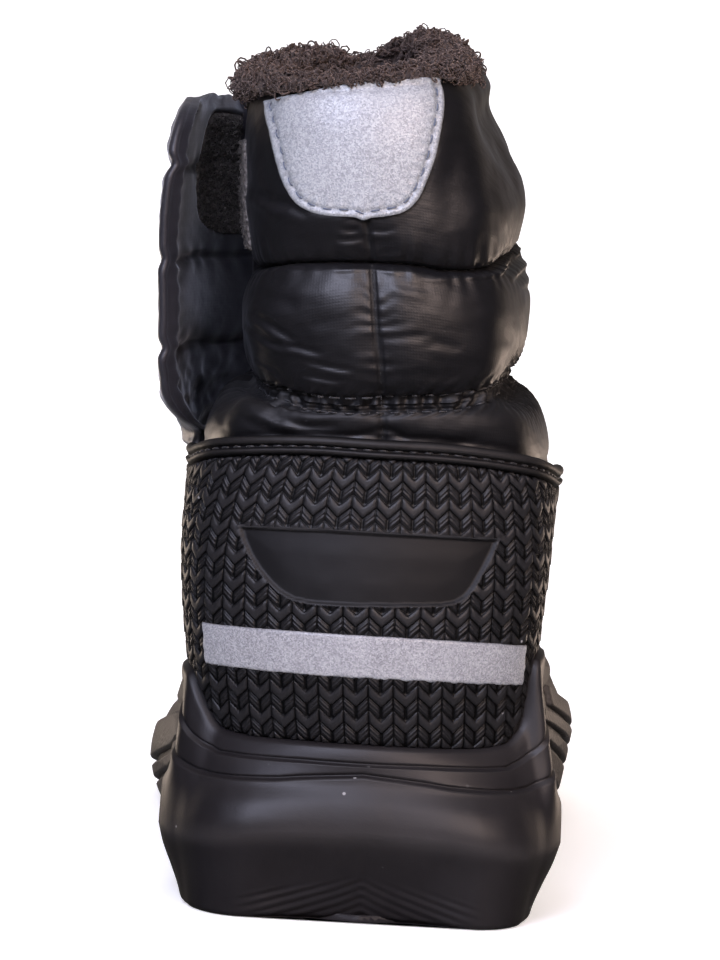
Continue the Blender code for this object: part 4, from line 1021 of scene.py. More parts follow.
def upper_relief(angle, u, p, w):
    """Everything that the upper's nylon does on top of its last: swell, seams, gathers and creases, in mm."""
    x, z = p[..., 0], p[..., 2]
    out, v = smooth_swell(angle, u, x)
    shaft = step(RING["instep"] + 0.2, RING["ruche"], u)
    back = 1 - step(88, 108, np.abs(angle))
    hidden = tab_mask(x, z, 0.4) * back
    free = (1 - hidden)
    gusset = step(-150, -140, angle) * (1 - step(-72, -62, angle)) * shaft
    # broad softness of the filling
    q = p * np.array([1.0, 1.0, 1.45])
    out = out + free * shaft * (0.62 * noise3(q, 17, 0) + 0.30 * noise3(q, 8.5, 1) + 0.10 * noise3(q, 3.6, 2))
    # middle seam
    d = (v - RING["seam"]) * np.where(v > RING["seam"], 20.5, 25.5)
    beat = 0.45 + 0.55 * np.clip(0.5 + 1.4 * noise2(w / 8.0, 0.3 + 0 * w, 3), 0, 1)
    pucker = np.cos(w * 2 * np.pi / 3.9 + 2.6 * noise2(w / 5.0, d / 5.0, 4)) * np.exp(-np.abs(d) / 2.4)
    small = np.cos(w * 2 * np.pi / 1.75 + 2.2 * noise2(w / 3.0, d / 2.0, 8)) * np.exp(-np.abs(d) / 1.1)
    out = out + (1 - gusset) * (-0.90 * bell(d, 0.34) - 0.25 * bell(d, 1.1) + (0.40 * beat * pucker + 0.18 * beat * small) * (1 - bell(d, 0.45)))
    # at the inner end the seam is braided, and strong folds run down to it
    braid = step(11, 15, x) * (1 - step(27, 32, x)) * back
    twist = np.cos((w + 1.1 * d) * 2 * np.pi / 2.1 + 1.2 * noise2(w / 4.0, d / 3.0, 2))
    out = out + (1 - gusset) * braid * (0.34 * twist * bell(d + 0.1, 1.25))
    # a tucked ridge just under the middle seam, as cloth folds over the thread
    out = out + 0.45 * (1 - gusset) * bell(d + 1.5 + 0.3 * noise2(w / 3.0, 0 * w, 6), 0.42) * (0.25 + 0.75 * step(-0.2, 0.4, noise2(w / 6.0, 1.1 + 0 * w, 5)))
    # back seam
    c = x - table(CENTRE_SEAM, z)
    sewn = back * free * step(86, 89, z) * (np.abs(angle) < 60)
    teeth = np.cos(z * 2 * np.pi / 2.9 + 3.0 * noise2(c / 3.0, z / 4.0, 6))
    out = out + sewn * (-1.05 * bell(c, 0.36) - 0.75 * bell(c, 3.4) + 0.22 * teeth * np.exp(-np.abs(c) / 2.0) * (1 - bell(c, 0.5)))
    # ruching: two rows of stitches 2 mm apart with gathers between and beyond them
    e = (v - RING["ruche"]) * np.where(v > RING["ruche"], 25.5, 6.8)
    side = step(30, 62, np.abs(angle))
    inner = np.where(angle > 0, side, 0.0)
    near = shaft * bell(e / 14.0, 1.0)
    tight = np.cos((w - 0.55 * e) * 2 * np.pi / 3.5 + 2.4 * noise2(w / 6.0, e / 2.2, 7))
    fine = np.cos((w - 0.3 * e) * 2 * np.pi / 1.6 + 2.2 * noise2(w / 4.0, e / 3.0, 8))
    knots = noise3(p, 1.5, 3)
    band = bell(e, 1.25)
    out = out + near * (-0.95 * bell(e - 1.05, 0.45) - 0.95 * bell(e + 1.05, 0.45) + band * (0.40 + 0.62 * tight + 0.40 * knots) + 0.35 * bell(np.abs(e) - 1.05, 0.6) * tight)
    reach = np.exp(-np.abs(e) / (2.0 + 3.4 * inner))
    out = out + near * (1 - band) * reach * ((0.46 + 0.20 * side) * tight * (1 - 0.5 * inner) + (0.16 + 0.62 * inner) * fine)
    out = out - 0.6 * inner * bell(e, 3.2) * shaft
    # folds that fan out below the ruching on the inner side
    fan = np.where(e < 0, inner * np.clip(1 + e / 13.0, 0, 1), 0)
    out = out + fan * 0.62 * np.cos((w + 0.35 * e) * 2 * np.pi / 2.5 + 1.5 * noise2(w / 5.0, e / 7.0, 9)) * shaft
    rise_fan = np.where(e > 0, inner * np.clip(1 - e / 6.0, 0, 1), 0)
    out = out + rise_fan * 0.50 * np.cos((w - 0.5 * e) * 2 * np.pi / 2.2 + 1.6 * noise2(w / 5.0, e / 4.0, 10)) * shaft
    # elastic at the left end of the ruching, drawn into a knot
    lump = bell((x + 20.5) / 3.6, 1.0) * bell((z - 98.6) / 3.4, 1.0) * (angle < 0) * back
    out = out + lump * (-0.9 + 0.85 * noise3(p, 2.1, 4) + 0.4 * noise3(p, 1.1, 5))
    # listed creases at the back
    out = out + back * free * crease(x, z, CREASES)
    # the folded gusset
    out = out + gusset * (0.9 * np.cos(w * 2 * np.pi / 11.0 + 1.2 * noise2(w / 12.0, z / 18.0, 10)) + 0.5 * noise3(p, 5.0, 2) - 0.4)
    # flex creases over the instep and softness over the foot
    front = step(105, 150, np.abs(angle))
    foot = 1 - step(RING["instep"] + 0.6, RING["ankle"] + 0.5, u)
    flex = np.cos(p[..., 1] * 2 * np.pi / 13.0 + 1.5 * noise3(p, 22, 1)) * bell((u - 5.0), 1.3)
    return out + foot * step(0.5, 2.0, u) * (0.28 * noise3(p, 15, 1) + 0.10 * noise3(p, 5, 2) + 0.42 * front * flex)


def painted_seam_shade(angle, u, p, w):
    """Painted shade: one along the sewn grooves and the ruching's stitch rows, and a share over the low chamber, where
    the cloth is made dark and dull.
    """
    x, z = p[..., 0], p[..., 2]
    _, v = smooth_swell(angle, u, x)
    back = 1 - step(88, 108, np.abs(angle))
    free = 1 - tab_mask(x, z, 0.4) * back
    gusset = step(-150, -140, angle) * (1 - step(-72, -62, angle))
    d = (v - RING["seam"]) * np.where(v > RING["seam"], 20.5, 25.5)
    e = (v - RING["ruche"]) * np.where(v > RING["ruche"], 25.5, 6.8)
    c = x - table(CENTRE_SEAM, z)
    sewn = back * free * step(86, 89, z) * (np.abs(angle) < 60)
    wave = 0.62 + 0.38 * noise2(w / 2.6, 0 * w, 2)
    rows = bell(np.abs(e) - 1.05, 0.34) * (0.55 + 0.45 * np.cos(w * 2 * np.pi / 3.5))
    out = np.maximum(bell(d, 0.24) * wave * (1 - gusset), bell(c, 0.34) * sewn * (0.8 + 0.2 * noise2(z / 2.0, c / 9.0, 4)))
    # painted shade: the low chamber is darkened under the ruching, and more at its outer left end
    left = step(38, 62, -angle) * (1 - step(120, 140, -angle))
    under = (0.34 + 0.4 * left) * step(6.6, 7.3, v) * (1 - step(7.9, 8.1, v)) * back  # the low chamber stays in the ruching's shade
    return np.clip(np.maximum(np.maximum(out, under), 0.75 * rows * step(RING["instep"] + 0.2, RING["ruche"], u)), 0, 1)


UPPER_LEVELS = np.concatenate([
    np.linspace(0, 6.0, 33 if FINE else 20)[:-1],
    np.linspace(6.0, 8.0, 42 if FINE else 20)[:-1],
    np.linspace(8.0, 8.94, 66 if FINE else 28)[:-1],
    np.linspace(8.94, 9.06, 17 if FINE else 7)[:-1],
    np.linspace(9.06, 10.0, 44 if FINE else 20)[:-1],
    np.linspace(10.0, 11.0, 27 if FINE else 12),
])


def build_upper_skin():
    u0 = 8.5
    count = 320 if FINE else 180
    weight = lambda a: np.where(np.abs(a) < 102, 1.0, 0.34)
    angle = spaced(lambda a: base(a, np.full(a.shape, u0)), -180, 180, count + 1, weight)[:-1]
    a, levels = np.meshgrid(angle, UPPER_LEVELS)
    u = follow_seams(a, levels)
    p = base(a, u)
    n = outward(a, u)
    middle = int(np.argmin(np.abs(angle)))
    across = lengths(p, 1)
    w = across - across[:, middle:middle + 1]
    relief = upper_relief(a, u, p, w)
    skin_points = p + n * relief[..., None]
    uv = np.stack([w, lengths(p, 0)], -1)
    # painted shade on the nylon: darker, duller cloth in the seams' grooves, along the ruching's stitch rows and over
    # the low chamber
    marks = painted_seam_shade(a, u, p, w)
    rows = list(skin_points)
    uvs = list(uv)
    kinds = [0] * (len(UPPER_LEVELS) - 1)
    # the turned top edge
    top = np.full(angle.shape, RING["collar"])
    rim, out_n = base(angle, top), outward(angle, top)
    rise = rim - base(angle, top - 0.6)
    rise /= np.linalg.norm(rise, axis=1, keepdims=True)
    for deep, high in ((-0.5, 0.55), (-1.4, 0.75), (-2.6, 0.45), (-WALL_SHAFT, -0.2)):
        rows.append(rim + out_n * (deep + (relief[-1] * max(0, 1 + deep / 1.4))[:, None]) + rise * high)
        uvs.append(uvs[-1] + np.array([0, 0.9]))
        kinds.append(0 if high > 0 else 1)
    wall = lambda level: WALL_FOOT + (WALL_SHAFT - WALL_FOOT) * step(RING["instep"], RING["ruche"], level)
    for level in (10.8, 10.3, 9.7, 9.1, 8.6, 8.0, 7.5, 7.0, 6.4, 5.6, 4.8, 4.0, 3.2, 2.4, 1.6, 0.8, 0.0):
        flat = np.full(angle.shape, level)
        q = base(angle, flat)
        nap = 0.25 * noise3(q, 3.0, 2) * (level > 0)
        rows.append(q + outward(angle, flat) * (-wall(level) + nap)[:, None])
        uvs.append(uvs[-1] + np.array([0, 6.0]))
        kinds.append(1)
    grid = np.array(rows)
    soup = Soup()
    quads = grid_faces(len(grid), len(angle), closed_cols=True, closed_rows=True)
    kind = np.repeat(kinds + [1], len(angle))
    mark = np.zeros(grid.shape[:2])
    mark[:len(marks)] = marks
    soup.add(grid, quads, uv=np.array(uvs), kind=kind, mark=mark)
    made = piece("upper_skin", soup, [NYLON, PILE], ["upper"])
    return made


# ================================================================ the sole
EDGE_LINES = (  # angle, height of the lower and of the upper line round the heel cup
    (0, 28.4, 30.3), (6, 27.8, 30.3), (10, 27.3, 30.3), (13.5, 26.7, 30.2), (20, 26.1, 30.0), (25, 25.9, 30.0), (28, 26.1, 31.0), (31, 27.0, 32.6), (35, 28.4, 35.8),
    (40, 30.2, 39.2), (46, 31.8, 41.2), (60, 33.2, 40.2), (75, 33.4, 39.6), (180, 33.4, 39.6))
LINE_ROWS = (1.42, 1.72)  # where rows of the mesh follow those two lines


def sole_wall(angle, v):
    """The sole's outside at an angle: v runs 0 at the ground edge, 1 at the widest line, 2 at the cup's top edge."""
    angle, v = np.broadcast_arrays(np.asarray(angle, float), np.asarray(v, float))
    edge, normal = outline(angle), outline_normal(angle)
    tuck, ridge, lip = (sole_column(k, angle) for k in (1, 2, 3))
    rear = 1 - step(18, 42, np.abs(angle))
    low = np.clip(v, 0, 1)
    heel_side = 1 - step(62, 84, np.abs(angle))
    side = curve((0, 0.14, 0.6, 1.0), (1.0, 0.52, 0.18, 0.0), low)
    taper = curve((0, 0.15, 0.4, 0.75, 1.0), (1.0, 0.89, 0.61, 0.20, 0.0), low)  # the heel block's sides fall in gently
    side = side * (1 - heel_side) + taper * heel_side
    under = curve((0, 0.06, 0.14, 0.6, 1.0), (1.0, 0.92, 0.85, 0.5, 0.0), low)
    inset = tuck * (side * (1 - rear) + under * rear)
    spot = edge - normal * inset[..., None]
    floor_z = ground(spot[..., 1]) * (1 - step(0, 0.14, low)) + ground(edge[..., 1]) * step(0, 0.14, low)
    z_low = floor_z + (ridge - floor_z) * low
    share = np.clip(v - 1, 0, 1)
    lip_ring = ring_at(angle, lip)
    lip_out = skin(angle, lip_ring, CUP_GAP + LIP_THICK)
    # rows of the mesh are led along the two lines of the heel cup
    angles = [r[0] for r in EDGE_LINES]
    tall = np.maximum(lip_out[..., 2] - ridge, 1e-6)
    low_at = np.clip((np.interp(np.abs(angle), angles, [r[1] for r in EDGE_LINES]) - ridge) / tall, 0.06, 0.80)
    high_at = np.clip((np.interp(np.abs(angle), angles, [r[2] for r in EDGE_LINES]) - ridge) / tall, low_at + 0.08, 0.93)
    one, two = LINE_ROWS[0] - 1, LINE_ROWS[1] - 1
    share = np.where(share < one, share / one * low_at,
                     np.where(share < two, low_at + (share - one) / (two - one) * (high_at - low_at), high_at + (share - two) / (1 - two) * (1 - high_at)))
    lean = curve((0, 0.12, 0.34, 0.58, 1.0), (0, 0.02, 0.16, 0.5, 1.0), share)[..., None]
    upper = edge * (1 - lean) + lip_out[..., :2] * lean
    z_high = ridge * (1 - share) + lip_out[..., 2] * share
    below = (v < 1)
    xy = np.where(below[..., None], spot, upper)
    return np.concatenate([xy, np.where(below, z_low, z_high)[..., None]], -1), normal, lip_ring


def drawn_in(angle, z):
    """How far the wall stands back on both sides over the heel block."""
    around, lip = np.abs(angle), sole_column(3, angle)
    return 3.7 * step(33, 47, around) * (1 - step(88, 104, around)) * step(22.0, 28.0, z) * (1 - step(lip - 8.0, lip - 1.0, z))


def sole_relief(p, angle, v):
    """Steps round the heel cup, ribs at the rear, blocks at the sides, in mm along the sole's own outline normal."""
    x, y, z = p[..., 0], p[..., 1], p[..., 2]
    around = np.abs(angle)
    heel = 1 - step(56, 76, around)
    out = np.zeros(z.shape)
    angles = [r[0] for r in EDGE_LINES]
    out -= drawn_in(angle, z) * (v > 0.6)
    for k, (recess, rim, reach) in ((1, (0.50, 0.42, 1.3)), (2, (0.38, 0.36, 2.0))):
        line = np.interp(around, angles, [r[k] for r in EDGE_LINES])
        d = z - line
        on = heel * (v > 1)
        ledge = step(-0.16, 0.16, d)
        out += on * ((1 - ledge) * rim * np.exp(np.clip(d, None, 0) / 1.4) - ledge * recess * np.exp(-np.clip(d - 0.2, 0, None) / reach))
        out -= on * 0.34 * bell(d - 0.42, 0.26)
    # rolled lip at the cup's top
    lip = sole_column(3, angle)
    out += 0.30 * bell((z - lip + 1.5) / 1.1, 1.0) * (v > 1) * (1 - 0.75 * heel)
    # ribs low on the rear: tents that meet at the middle
    rear = 1 - step(16, 34, around)
    tent = z + 0.72 * (np.abs(x - 0.3) ** 0.78) - 0.2
    saw = ((tent / 1.7) % 1.0)
    ridge_shape = np.where(saw < 0.26, saw / 0.26, (1 - saw) / 0.74)
    fade = step(0.2, 1.2, z) * (1 - step(7.4 - 0.16 * np.abs(x), 9.8 - 0.16 * np.abs(x), z)) * rear * (1 - step(18, 25, np.abs(x)))
    out += 0.46 * (ridge_shape - 0.5) * fade
    # a thin upright groove sets the forward block off on the outer side
    groove_at = np.interp(z, (0, 9, 17, 26), (-33.5, -37.0, -39.5, -41.0))
    out -= 0.9 * bell((angle - groove_at) / 1.0, 1.0) * step(1.5, 4, z) * (1 - step(24, 28, z))
    # blocks at the sides of the forefoot and the heel's front
    fore = step(84, 98, y) * (1 - step(166, 178, y)) * (around > 40)
    out -= 0.9 * fore * step(0.02, 0.2, v) * (1 - step(1.25, 1.45, v))
    # shallow channel above the blocks
    chan = z - (sole_column(2, angle) + 12.5)
    out -= 0.7 * bell(chan, 0.7) * (1 - heel) * step(60, 75, around) * (1 - step(150, 172, y))
    out += 0.05 * noise3(p, 9.0, 1)
    return out


# the blocks on both sides of the forefoot, one above the other and leaning down to the front:
# lower and upper edge (height where they would cross station 0), first and last station
INNER_LUGS = ((64.1, 69.4, 132, 170), (59.4, 62.9, 122, 172), (55.0, 58.2, 108, 172), (48.4, 53.9, 98, 168), (43.0, 47.2, 97, 150), (37.6, 41.8, 92, 138))
OUTER_LUGS = ((42.3, 51.0, 78, 168), (37.9, 40.9, 66, 166), (31.5, 36.9, 58, 150), (26.0, 30.8, 54, 110))


def build_side_lugs():
    soup = Soup()
    cols, rows_n = (72, 17) if FINE else (36, 9)
    for sign, blocks, dip in ((1, INNER_LUGS, 0.275), (-1, OUTER_LUGS, 0.225)):
        angles = np.linspace(46, 172, 900) * sign
        stations = outline(angles)[:, 1]
        for low, high, first_y, last_y in blocks:
            share = np.linspace(0, 1, rows_n)[:, None]
            share = share - 0.045 * np.sin(2 * np.pi * share)
            run = np.linspace(0, 1, cols)[None, :]
            run = run - 0.06 * np.sin(2 * np.pi * run)
            level = low + (high - low) * share
            y = first_y + (last_y - first_y) * run + 2.2 * (share - 0.5)
            z = level - dip * y
            a = np.interp(y, stations, angles)
            fine_v = np.linspace(0, 1.9, 42)
            wall = sole_wall(np.broadcast_to(a[..., None], a.shape + (42,)), np.broadcast_to(fine_v, a.shape + (42,)))[0][..., 2]
            floor_z = wall[..., 0] + 0.35
            z = np.maximum(z, floor_z)
            near = np.clip((wall < z[..., None]).sum(-1) - 1, 0, 40)
            z0 = np.take_along_axis(wall, near[..., None], -1)[..., 0]
            z1 = np.take_along_axis(wall, near[..., None] + 1, -1)[..., 0]
            v = fine_v[near] + (fine_v[1] - fine_v[0]) * np.clip((z - z0) / np.maximum(z1 - z0, 1e-6), 0, 1)
            p, n, _ = sole_wall(a, v)
            away = np.minimum(np.minimum(share, 1 - share) * (high - low), np.minimum(run, 1 - run) * (last_y - first_y) * 0.6)
            away = np.broadcast_to(away, z.shape)
            fading = 1 - 0.5 * step(0.75, 1.0, run) + 0 * share
            dome = np.sqrt(np.clip(1 - (1 - np.clip(away / 0.55, 0, 1)) ** 2, 0, 1))
            back_in = drawn_in(a, z)
            lift = -1.5 + (1.5 + 0.65 * fading) * dome + 0.05 * noise3(p, 3.0, 2) - back_in
            outer = p + np.concatenate([n * lift[..., None], 0 * lift[..., None]], -1)
            inner = p - np.concatenate([n * (2.1 + back_in)[..., None], 0 * lift[..., None]], -1)
            # painted highlight: the rubber's mark pales a band just inside each block's rounded edge
            first = soup.add(outer, grid_faces(rows_n, cols), uv=np.stack([y, z], -1), mark=0.9 * bell((away - 0.3) / 0.28, 1.0))
            close_back(soup, outer, inner, first, 4)
    made = piece("side_lugs", soup, [LIT_SIDE_RUBBER])
    fix_normals(made)
    return made


def build_outsole_skin():
    count = 560 if FINE else 300
    weight = lambda a: np.where(np.abs(a) < 62, 1.25, 1.0) * np.where(np.abs(a) > 150, 0.7, 1.0)
    angle = spaced(lambda a: np.concatenate([outline(a), 0 * a[:, None]], 1), -180, 180, count + 1, weight)[:-1]
    # put the first column at the back, so that the ladder's rungs run straight across
    half = count // 2
    right = spaced(lambda a: np.concatenate([outline(a), 0 * a[:, None]], 1), 0, 180, half + 1, weight)
    angle = np.concatenate([right, -right[-2:0:-1]])
    if FINE:
        v = np.concatenate([np.linspace(0, 0.55, 33)[:-1], np.linspace(0.55, 1, 13)[:-1], np.linspace(1, 1.36, 12)[:-1], np.linspace(1.36, 1.50, 15)[:-1],
                            np.linspace(1.50, 1.67, 9)[:-1], np.linspace(1.67, 1.79, 14)[:-1], np.linspace(1.79, 2, 14)])
    else:
        v = np.concatenate([np.linspace(0, 1, 14)[:-1], np.linspace(1, 2, 32)])
    a, vv = np.meshgrid(angle, v)
    p, normal, lip_ring = sole_wall(a, vv)
    relief = sole_relief(p, a, vv)
    round_low = 0.5 * (1 - step(0, 0.05, vv))
    p = p - np.concatenate([normal * (round_low - relief)[..., None], 0 * relief[..., None]], -1)
    rows = list(p)
    # over the lip and down the inside of the cup
    lip = lip_ring[0]
    flat = lambda q: q
    top = rows[-1]
    inside_top = skin(angle, lip, CUP_GAP)
    for t in (0.1, 0.3, 0.5, 0.72, 0.92):
        q = top * (1 - t) + inside_top * t
        q[:, 2] += 0.62 * math.sin(math.pi * t) ** 0.8 - 0.25 * t
        rows.append(q)
    inner_rows = []
    for share in (0.97, 0.8, 0.6, 0.4, 0.2, 0.0):
        q = skin(angle, lip * share, CUP_GAP)
        if share == 0.0:
            q = q - np.array([0, 0, GAP])
        inner_rows.append(q)
    rows += inner_rows
    grid = np.array(rows)
    soup = Soup()
    uv = sheet_uv(grid, 0)
    # painted highlight: the rubber's mark makes it paler along the ridge and on the raised rims
    worn = np.zeros(grid.shape[:2])
    worn[:len(v)] = 0.55 * bell((vv - 1.0) / 0.10, 1.0) + 0.5 * np.clip(relief, 0, 1)
    first = soup.add(grid, grid_faces(len(grid), len(angle), closed_cols=True), uv=uv, mark=worn, kind=0)
    # stippled side walls take a finish of their own from the heel's front forward
    # underside: rungs from side to side
    n = len(angle)
    rungs = 44 if FINE else 24
    shares = np.linspace(0, 1, rungs + 1)[1:-1]
    low = grid[0]
    left = low[1:half][:, None, :] * 1.0
    rightp = low[::-1][:half - 1][:, None, :] * 1.0
    across = left * (1 - shares[None, :, None]) + rightp * shares[None, :, None]
    ys, xs = across[..., 1], across[..., 0]
    z = ground(ys)
    depth = tread(xs, ys)
    inset = np.minimum(shares, 1 - shares)[None, :] * np.abs(left[..., 0] - rightp[..., 0])
    across[..., 2] = z + depth * step(0.2, 1.6, inset)
    start = soup.add(across.reshape(-1, 3), uv=across[..., :2].reshape(-1, 2), mark=0.3)
    m = rungs - 1
    index = start + np.arange((half - 1) * m).reshape(half - 1, m)
    # columns of the ladder: rim vertex on one side, inner points, rim vertex on the other
    one = first + np.arange(1, half)
    two = first + (n - np.arange(1, half))
    full = np.concatenate([one[:, None], index, two[:, None]], 1)
    q = np.stack([full[:-1, :-1], full[:-1, 1:], full[1:, 1:], full[1:, :-1]], -1).reshape(-1, 4)
    soup.quads.append(q)
    soup.kind4.append(np.full(len(q), 0))
    for tip, row in ((first, full[0]), (first + half, full[-1])):
        tris = np.stack([np.full(m + 1, tip), row[:-1], row[1:]], -1)
        tris = tris if tip == first else tris[:, ::-1]
        soup.tris.append(tris[:, ::-1] if tip == first else tris[:, ::-1])
        soup.kind3.append(np.full(len(tris), 0))
    # the cup's floor, coarser
    last = first + (len(grid) - 1) * n
    rungs2 = []
    for i in range(half):
        ring = []
        for k in (i, (i + 1) % n, (n - i - 1) % n, (n - i) % n):
            if last + k not in ring:
                ring.append(last + k)
        rungs2.append(ring)
    quads2 = np.array([r for r in rungs2 if len(r) == 4])
    tris2 = np.array([r for r in rungs2 if len(r) == 3])
    soup.quads.append(quads2)
    soup.kind4.append(np.full(len(quads2), 0))
    if len(tris2):
        soup.tris.append(tris2)
        soup.kind3.append(np.full(len(tris2), 0))
    mesh_piece = piece("outsole_skin", soup, [SOLE_RUBBER, LIT_SIDE_RUBBER], ["outsole"])
    fix_normals(mesh_piece)
    side_finish(mesh_piece)
    return mesh_piece


def tread(x, y):
    """Depth of the tread under the sole: cross grooves and a zigzag on each block."""
    out = np.zeros(y.shape)
    for station in CROSS_GROOVES:
        out = np.maximum(out, CROSS_DEPTH * (1 - step(CROSS_WIDTH / 2 - 0.6, CROSS_WIDTH / 2 + 0.5, np.abs(y - station))))
    zig = y + 3.0 * np.abs(((x / 11.0) % 2.0) - 1.0)
    fine = 1.3 * (1 - step(0.45, 0.95, np.abs(((zig / 5.5) % 1.0) - 0.5) * 5.5))
    fine = fine * (np.abs(x) < 31)
    out = np.maximum(out, fine)
    return out


def fix_normals(obj):
    """All faces of a closed piece turned outwards."""
    import bmesh
    bm = bmesh.new()
    bm.from_mesh(obj.data)
    bmesh.ops.recalc_face_normals(bm, faces=bm.faces)
    bm.to_mesh(obj.data)
    bm.free()


def side_finish(obj):
    """The stippled finish on the side walls in front of the heel cup, whose brighter, warmer colour is painted light.
    """
    mesh = obj.data
    centres = np.empty(len(mesh.polygons) * 3, np.float32)
    mesh.polygons.foreach_get("center", centres)
    centres = centres.reshape(-1, 3)
    y = centres[:, 1] / MM + ORIGIN_Y
    kinds = np.where((y > 44) & (centres[:, 2] / MM > 2.0), 1, 0).astype(np.int32)
    mesh.polygons.foreach_set("material_index", kinds)


# ================================================================ the insole
def build_insole_pad():
    count = 220 if FINE else 120
    half = count // 2
    right = spaced(lambda a: base(a, np.zeros(a.shape)), 0, 180, half + 1)
    angle = np.concatenate([right, -right[-2:0:-1]])
    low = skin(angle, np.zeros(angle.shape), -(WALL_FOOT + 0.5))
    middle = low.mean(0)
    rows = []
    for shrink, rise in ((0.25, 0.0), (0.0, 0.5), (0.0, 1.8), (0.0, 3.1), (0.35, 3.8), (1.2, 4.0)):
        d = low[:, :2] - middle[:2]
        inwards = d / np.linalg.norm(d, axis=1, keepdims=True) * shrink
        q = low.copy()
        q[:, :2] -= inwards
        q[:, 2] += rise
        rows.append(q)
    grid = np.array(rows)
    soup = Soup()
    n = len(angle)
    first = soup.add(grid, grid_faces(len(grid), n, closed_cols=True), uv=sheet_uv(grid, 0))

    def ladder_of(ring_start, ring, crown):
        rungs = 24
        shares = np.linspace(0, 1, rungs + 1)[1:-1]
        a, b = ring[1:half][:, None, :], ring[::-1][:half - 1][:, None, :]
        inner = a * (1 - shares[None, :, None]) + b * shares[None, :, None]
        if crown:
            y = inner[..., 1]
            heel = bell((y - 42) / 22, 1.0) * (4 * shares * (1 - shares))[None, :] ** 0.8
            ball = bell((y - 140) / 24, 1.0) * (4 * shares * (1 - shares))[None, :] ** 0.8
            inner[..., 2] += -0.7 * heel - 0.5 * ball + 0.06 * noise3(inner, 6, 1)
        start = soup.add(inner.reshape(-1, 3), uv=inner[..., :2].reshape(-1, 2))
        m = rungs - 1
        index = start + np.arange((half - 1) * m).reshape(half - 1, m)
        full = np.concatenate([(ring_start + np.arange(1, half))[:, None], index, (ring_start + n - np.arange(1, half))[:, None]], 1)
        q = np.stack([full[:-1, :-1], full[:-1, 1:], full[1:, 1:], full[1:, :-1]], -1).reshape(-1, 4)
        soup.quads.append(q)
        soup.kind4.append(np.full(len(q), 0))
        for tip, row in ((ring_start, full[0]), (ring_start + half, full[-1])):
            tris = np.stack([np.full(m + 1, tip), row[:-1], row[1:]], -1)
            soup.tris.append(tris)
            soup.kind3.append(np.full(len(tris), 0))

    ladder_of(first, grid[0], False)
    ladder_of(first + (len(grid) - 1) * n, grid[-1], True)
    made = piece("insole_pad", soup, [FELT], ["insole"])
    fix_normals(made)
    return made


# ================================================================ heel counter
CHEVRON_WIDE, CHEVRON_SLOPE, CHEVRON_ROW = 5.05, 0.85, 2.6
STRIP_LOW, STRIP_HIGH, STRIP_ENDS = 47.7, 55.7, (-28.8, 30.6)
RECESS_OUTLINE = ((-27.5, 74.9), (-10, 75.6), (8, 75.6), (23.1, 75.2), (22.2, 72.4), (20.7, 69.2), (19.0, 65.8), (17.4, 63.7), (15.4, 62.5), (12.6, 62.0), (8, 61.8),
                  (-4, 61.3), (-12, 61.1), (-16.2, 61.6), (-18.9, 62.8), (-21.2, 64.6), (-23.4, 66.9), (-25.1, 69.2), (-26.7, 72.2))


def recess_depth_inside(x, z):
    """Distance inside the recess's outline, negative outside."""
    pts = np.asarray(RECESS_OUTLINE, float)
    closed = np.vstack([pts, pts[:1]])
    away, _, _ = near_line(x, z, closed)
    inside = np.zeros(np.shape(x), bool)
    for (ax, az), (bx, bz) in zip(closed[:-1], closed[1:]):
        crosses = (az > z) != (bz > z)
        with np.errstate(divide="ignore", invalid="ignore"):
            at = ax + (z - az) * (bx - ax) / (bz - az if bz != az else 1e-9)
        inside ^= crosses & (x < at)
    return np.where(inside, away, -away)


def strip_bounds(angle):
    """Lower and upper edge of the reflective strip."""
    sag = np.where(angle < 0, -0.35, -1.45) * (angle / 30.0) ** 2  # it runs lower towards its inner end
    return STRIP_LOW + sag, STRIP_HIGH + sag


def chevrons(w, z):
    """Moulded arrows: one row solid and proud, the next lower and cut by fine lines."""
    q = np.abs(((w / CHEVRON_WIDE + 0.5) % 1.0) - 0.5) * CHEVRON_WIDE
    v = (z - CHEVRON_SLOPE * q) / CHEVRON_ROW
    row = np.floor(v)
    f = v - row
    solid = (row % 2 == 0)
    half = CHEVRON_WIDE / 2
    edge = np.minimum(f, 1 - f) * CHEVRON_ROW * 0.76
    plateau = step(0.02, 0.36, edge)
    crown = plateau * (0.78 + 0.14 * (1 - f) - 0.05 * q / half)
    lines = 0.5 + 0.5 * np.cos(f * 3 * 2 * np.pi)
    low = plateau * (0.44 + 0.24 * lines)
    h = np.where(solid, crown, low)
    joint = step(0.05, 0.42, half - q)  # upright joints at the tops of the arms
    slot = np.where(solid, 0.0, 1 - step(0.16, 0.52, q))  # and upright slots at their feet
    h = h * joint * (1 - slot)
    return h, v


def counter_grid():
    count = 409 if FINE else 181
    rows_n = 155 if FINE else 73
    mid = lambda a: skin(a, ring_at(a, np.full(a.shape, 62.0)), GAP + COUNTER_THICK)
    angle = spaced(mid, -COUNTER_ANGLE, COUNTER_ANGLE, count)
    low = ring_at(angle, sole_column(3, angle) + GAP + 0.1)
    high = ring_at(angle, counter_top(angle))
    u = low + (high - low) * np.linspace(0, 1, rows_n)[:, None]
    return np.broadcast_to(angle, u.shape), u


def counter_across():
    """Length round the counter from its middle, by angle, at the recess's height."""
    a = np.linspace(-COUNTER_ANGLE - 4, COUNTER_ANGLE + 4, 1601)
    p = skin(a, ring_at(a, np.full(a.shape, 62.0)), GAP + COUNTER_THICK)
    run = np.concatenate([[0], np.cumsum(np.linalg.norm(np.diff(p, axis=0), axis=1))])
    return a, run - np.interp(0.0, a, run)


ACROSS_A, ACROSS_W = counter_across()


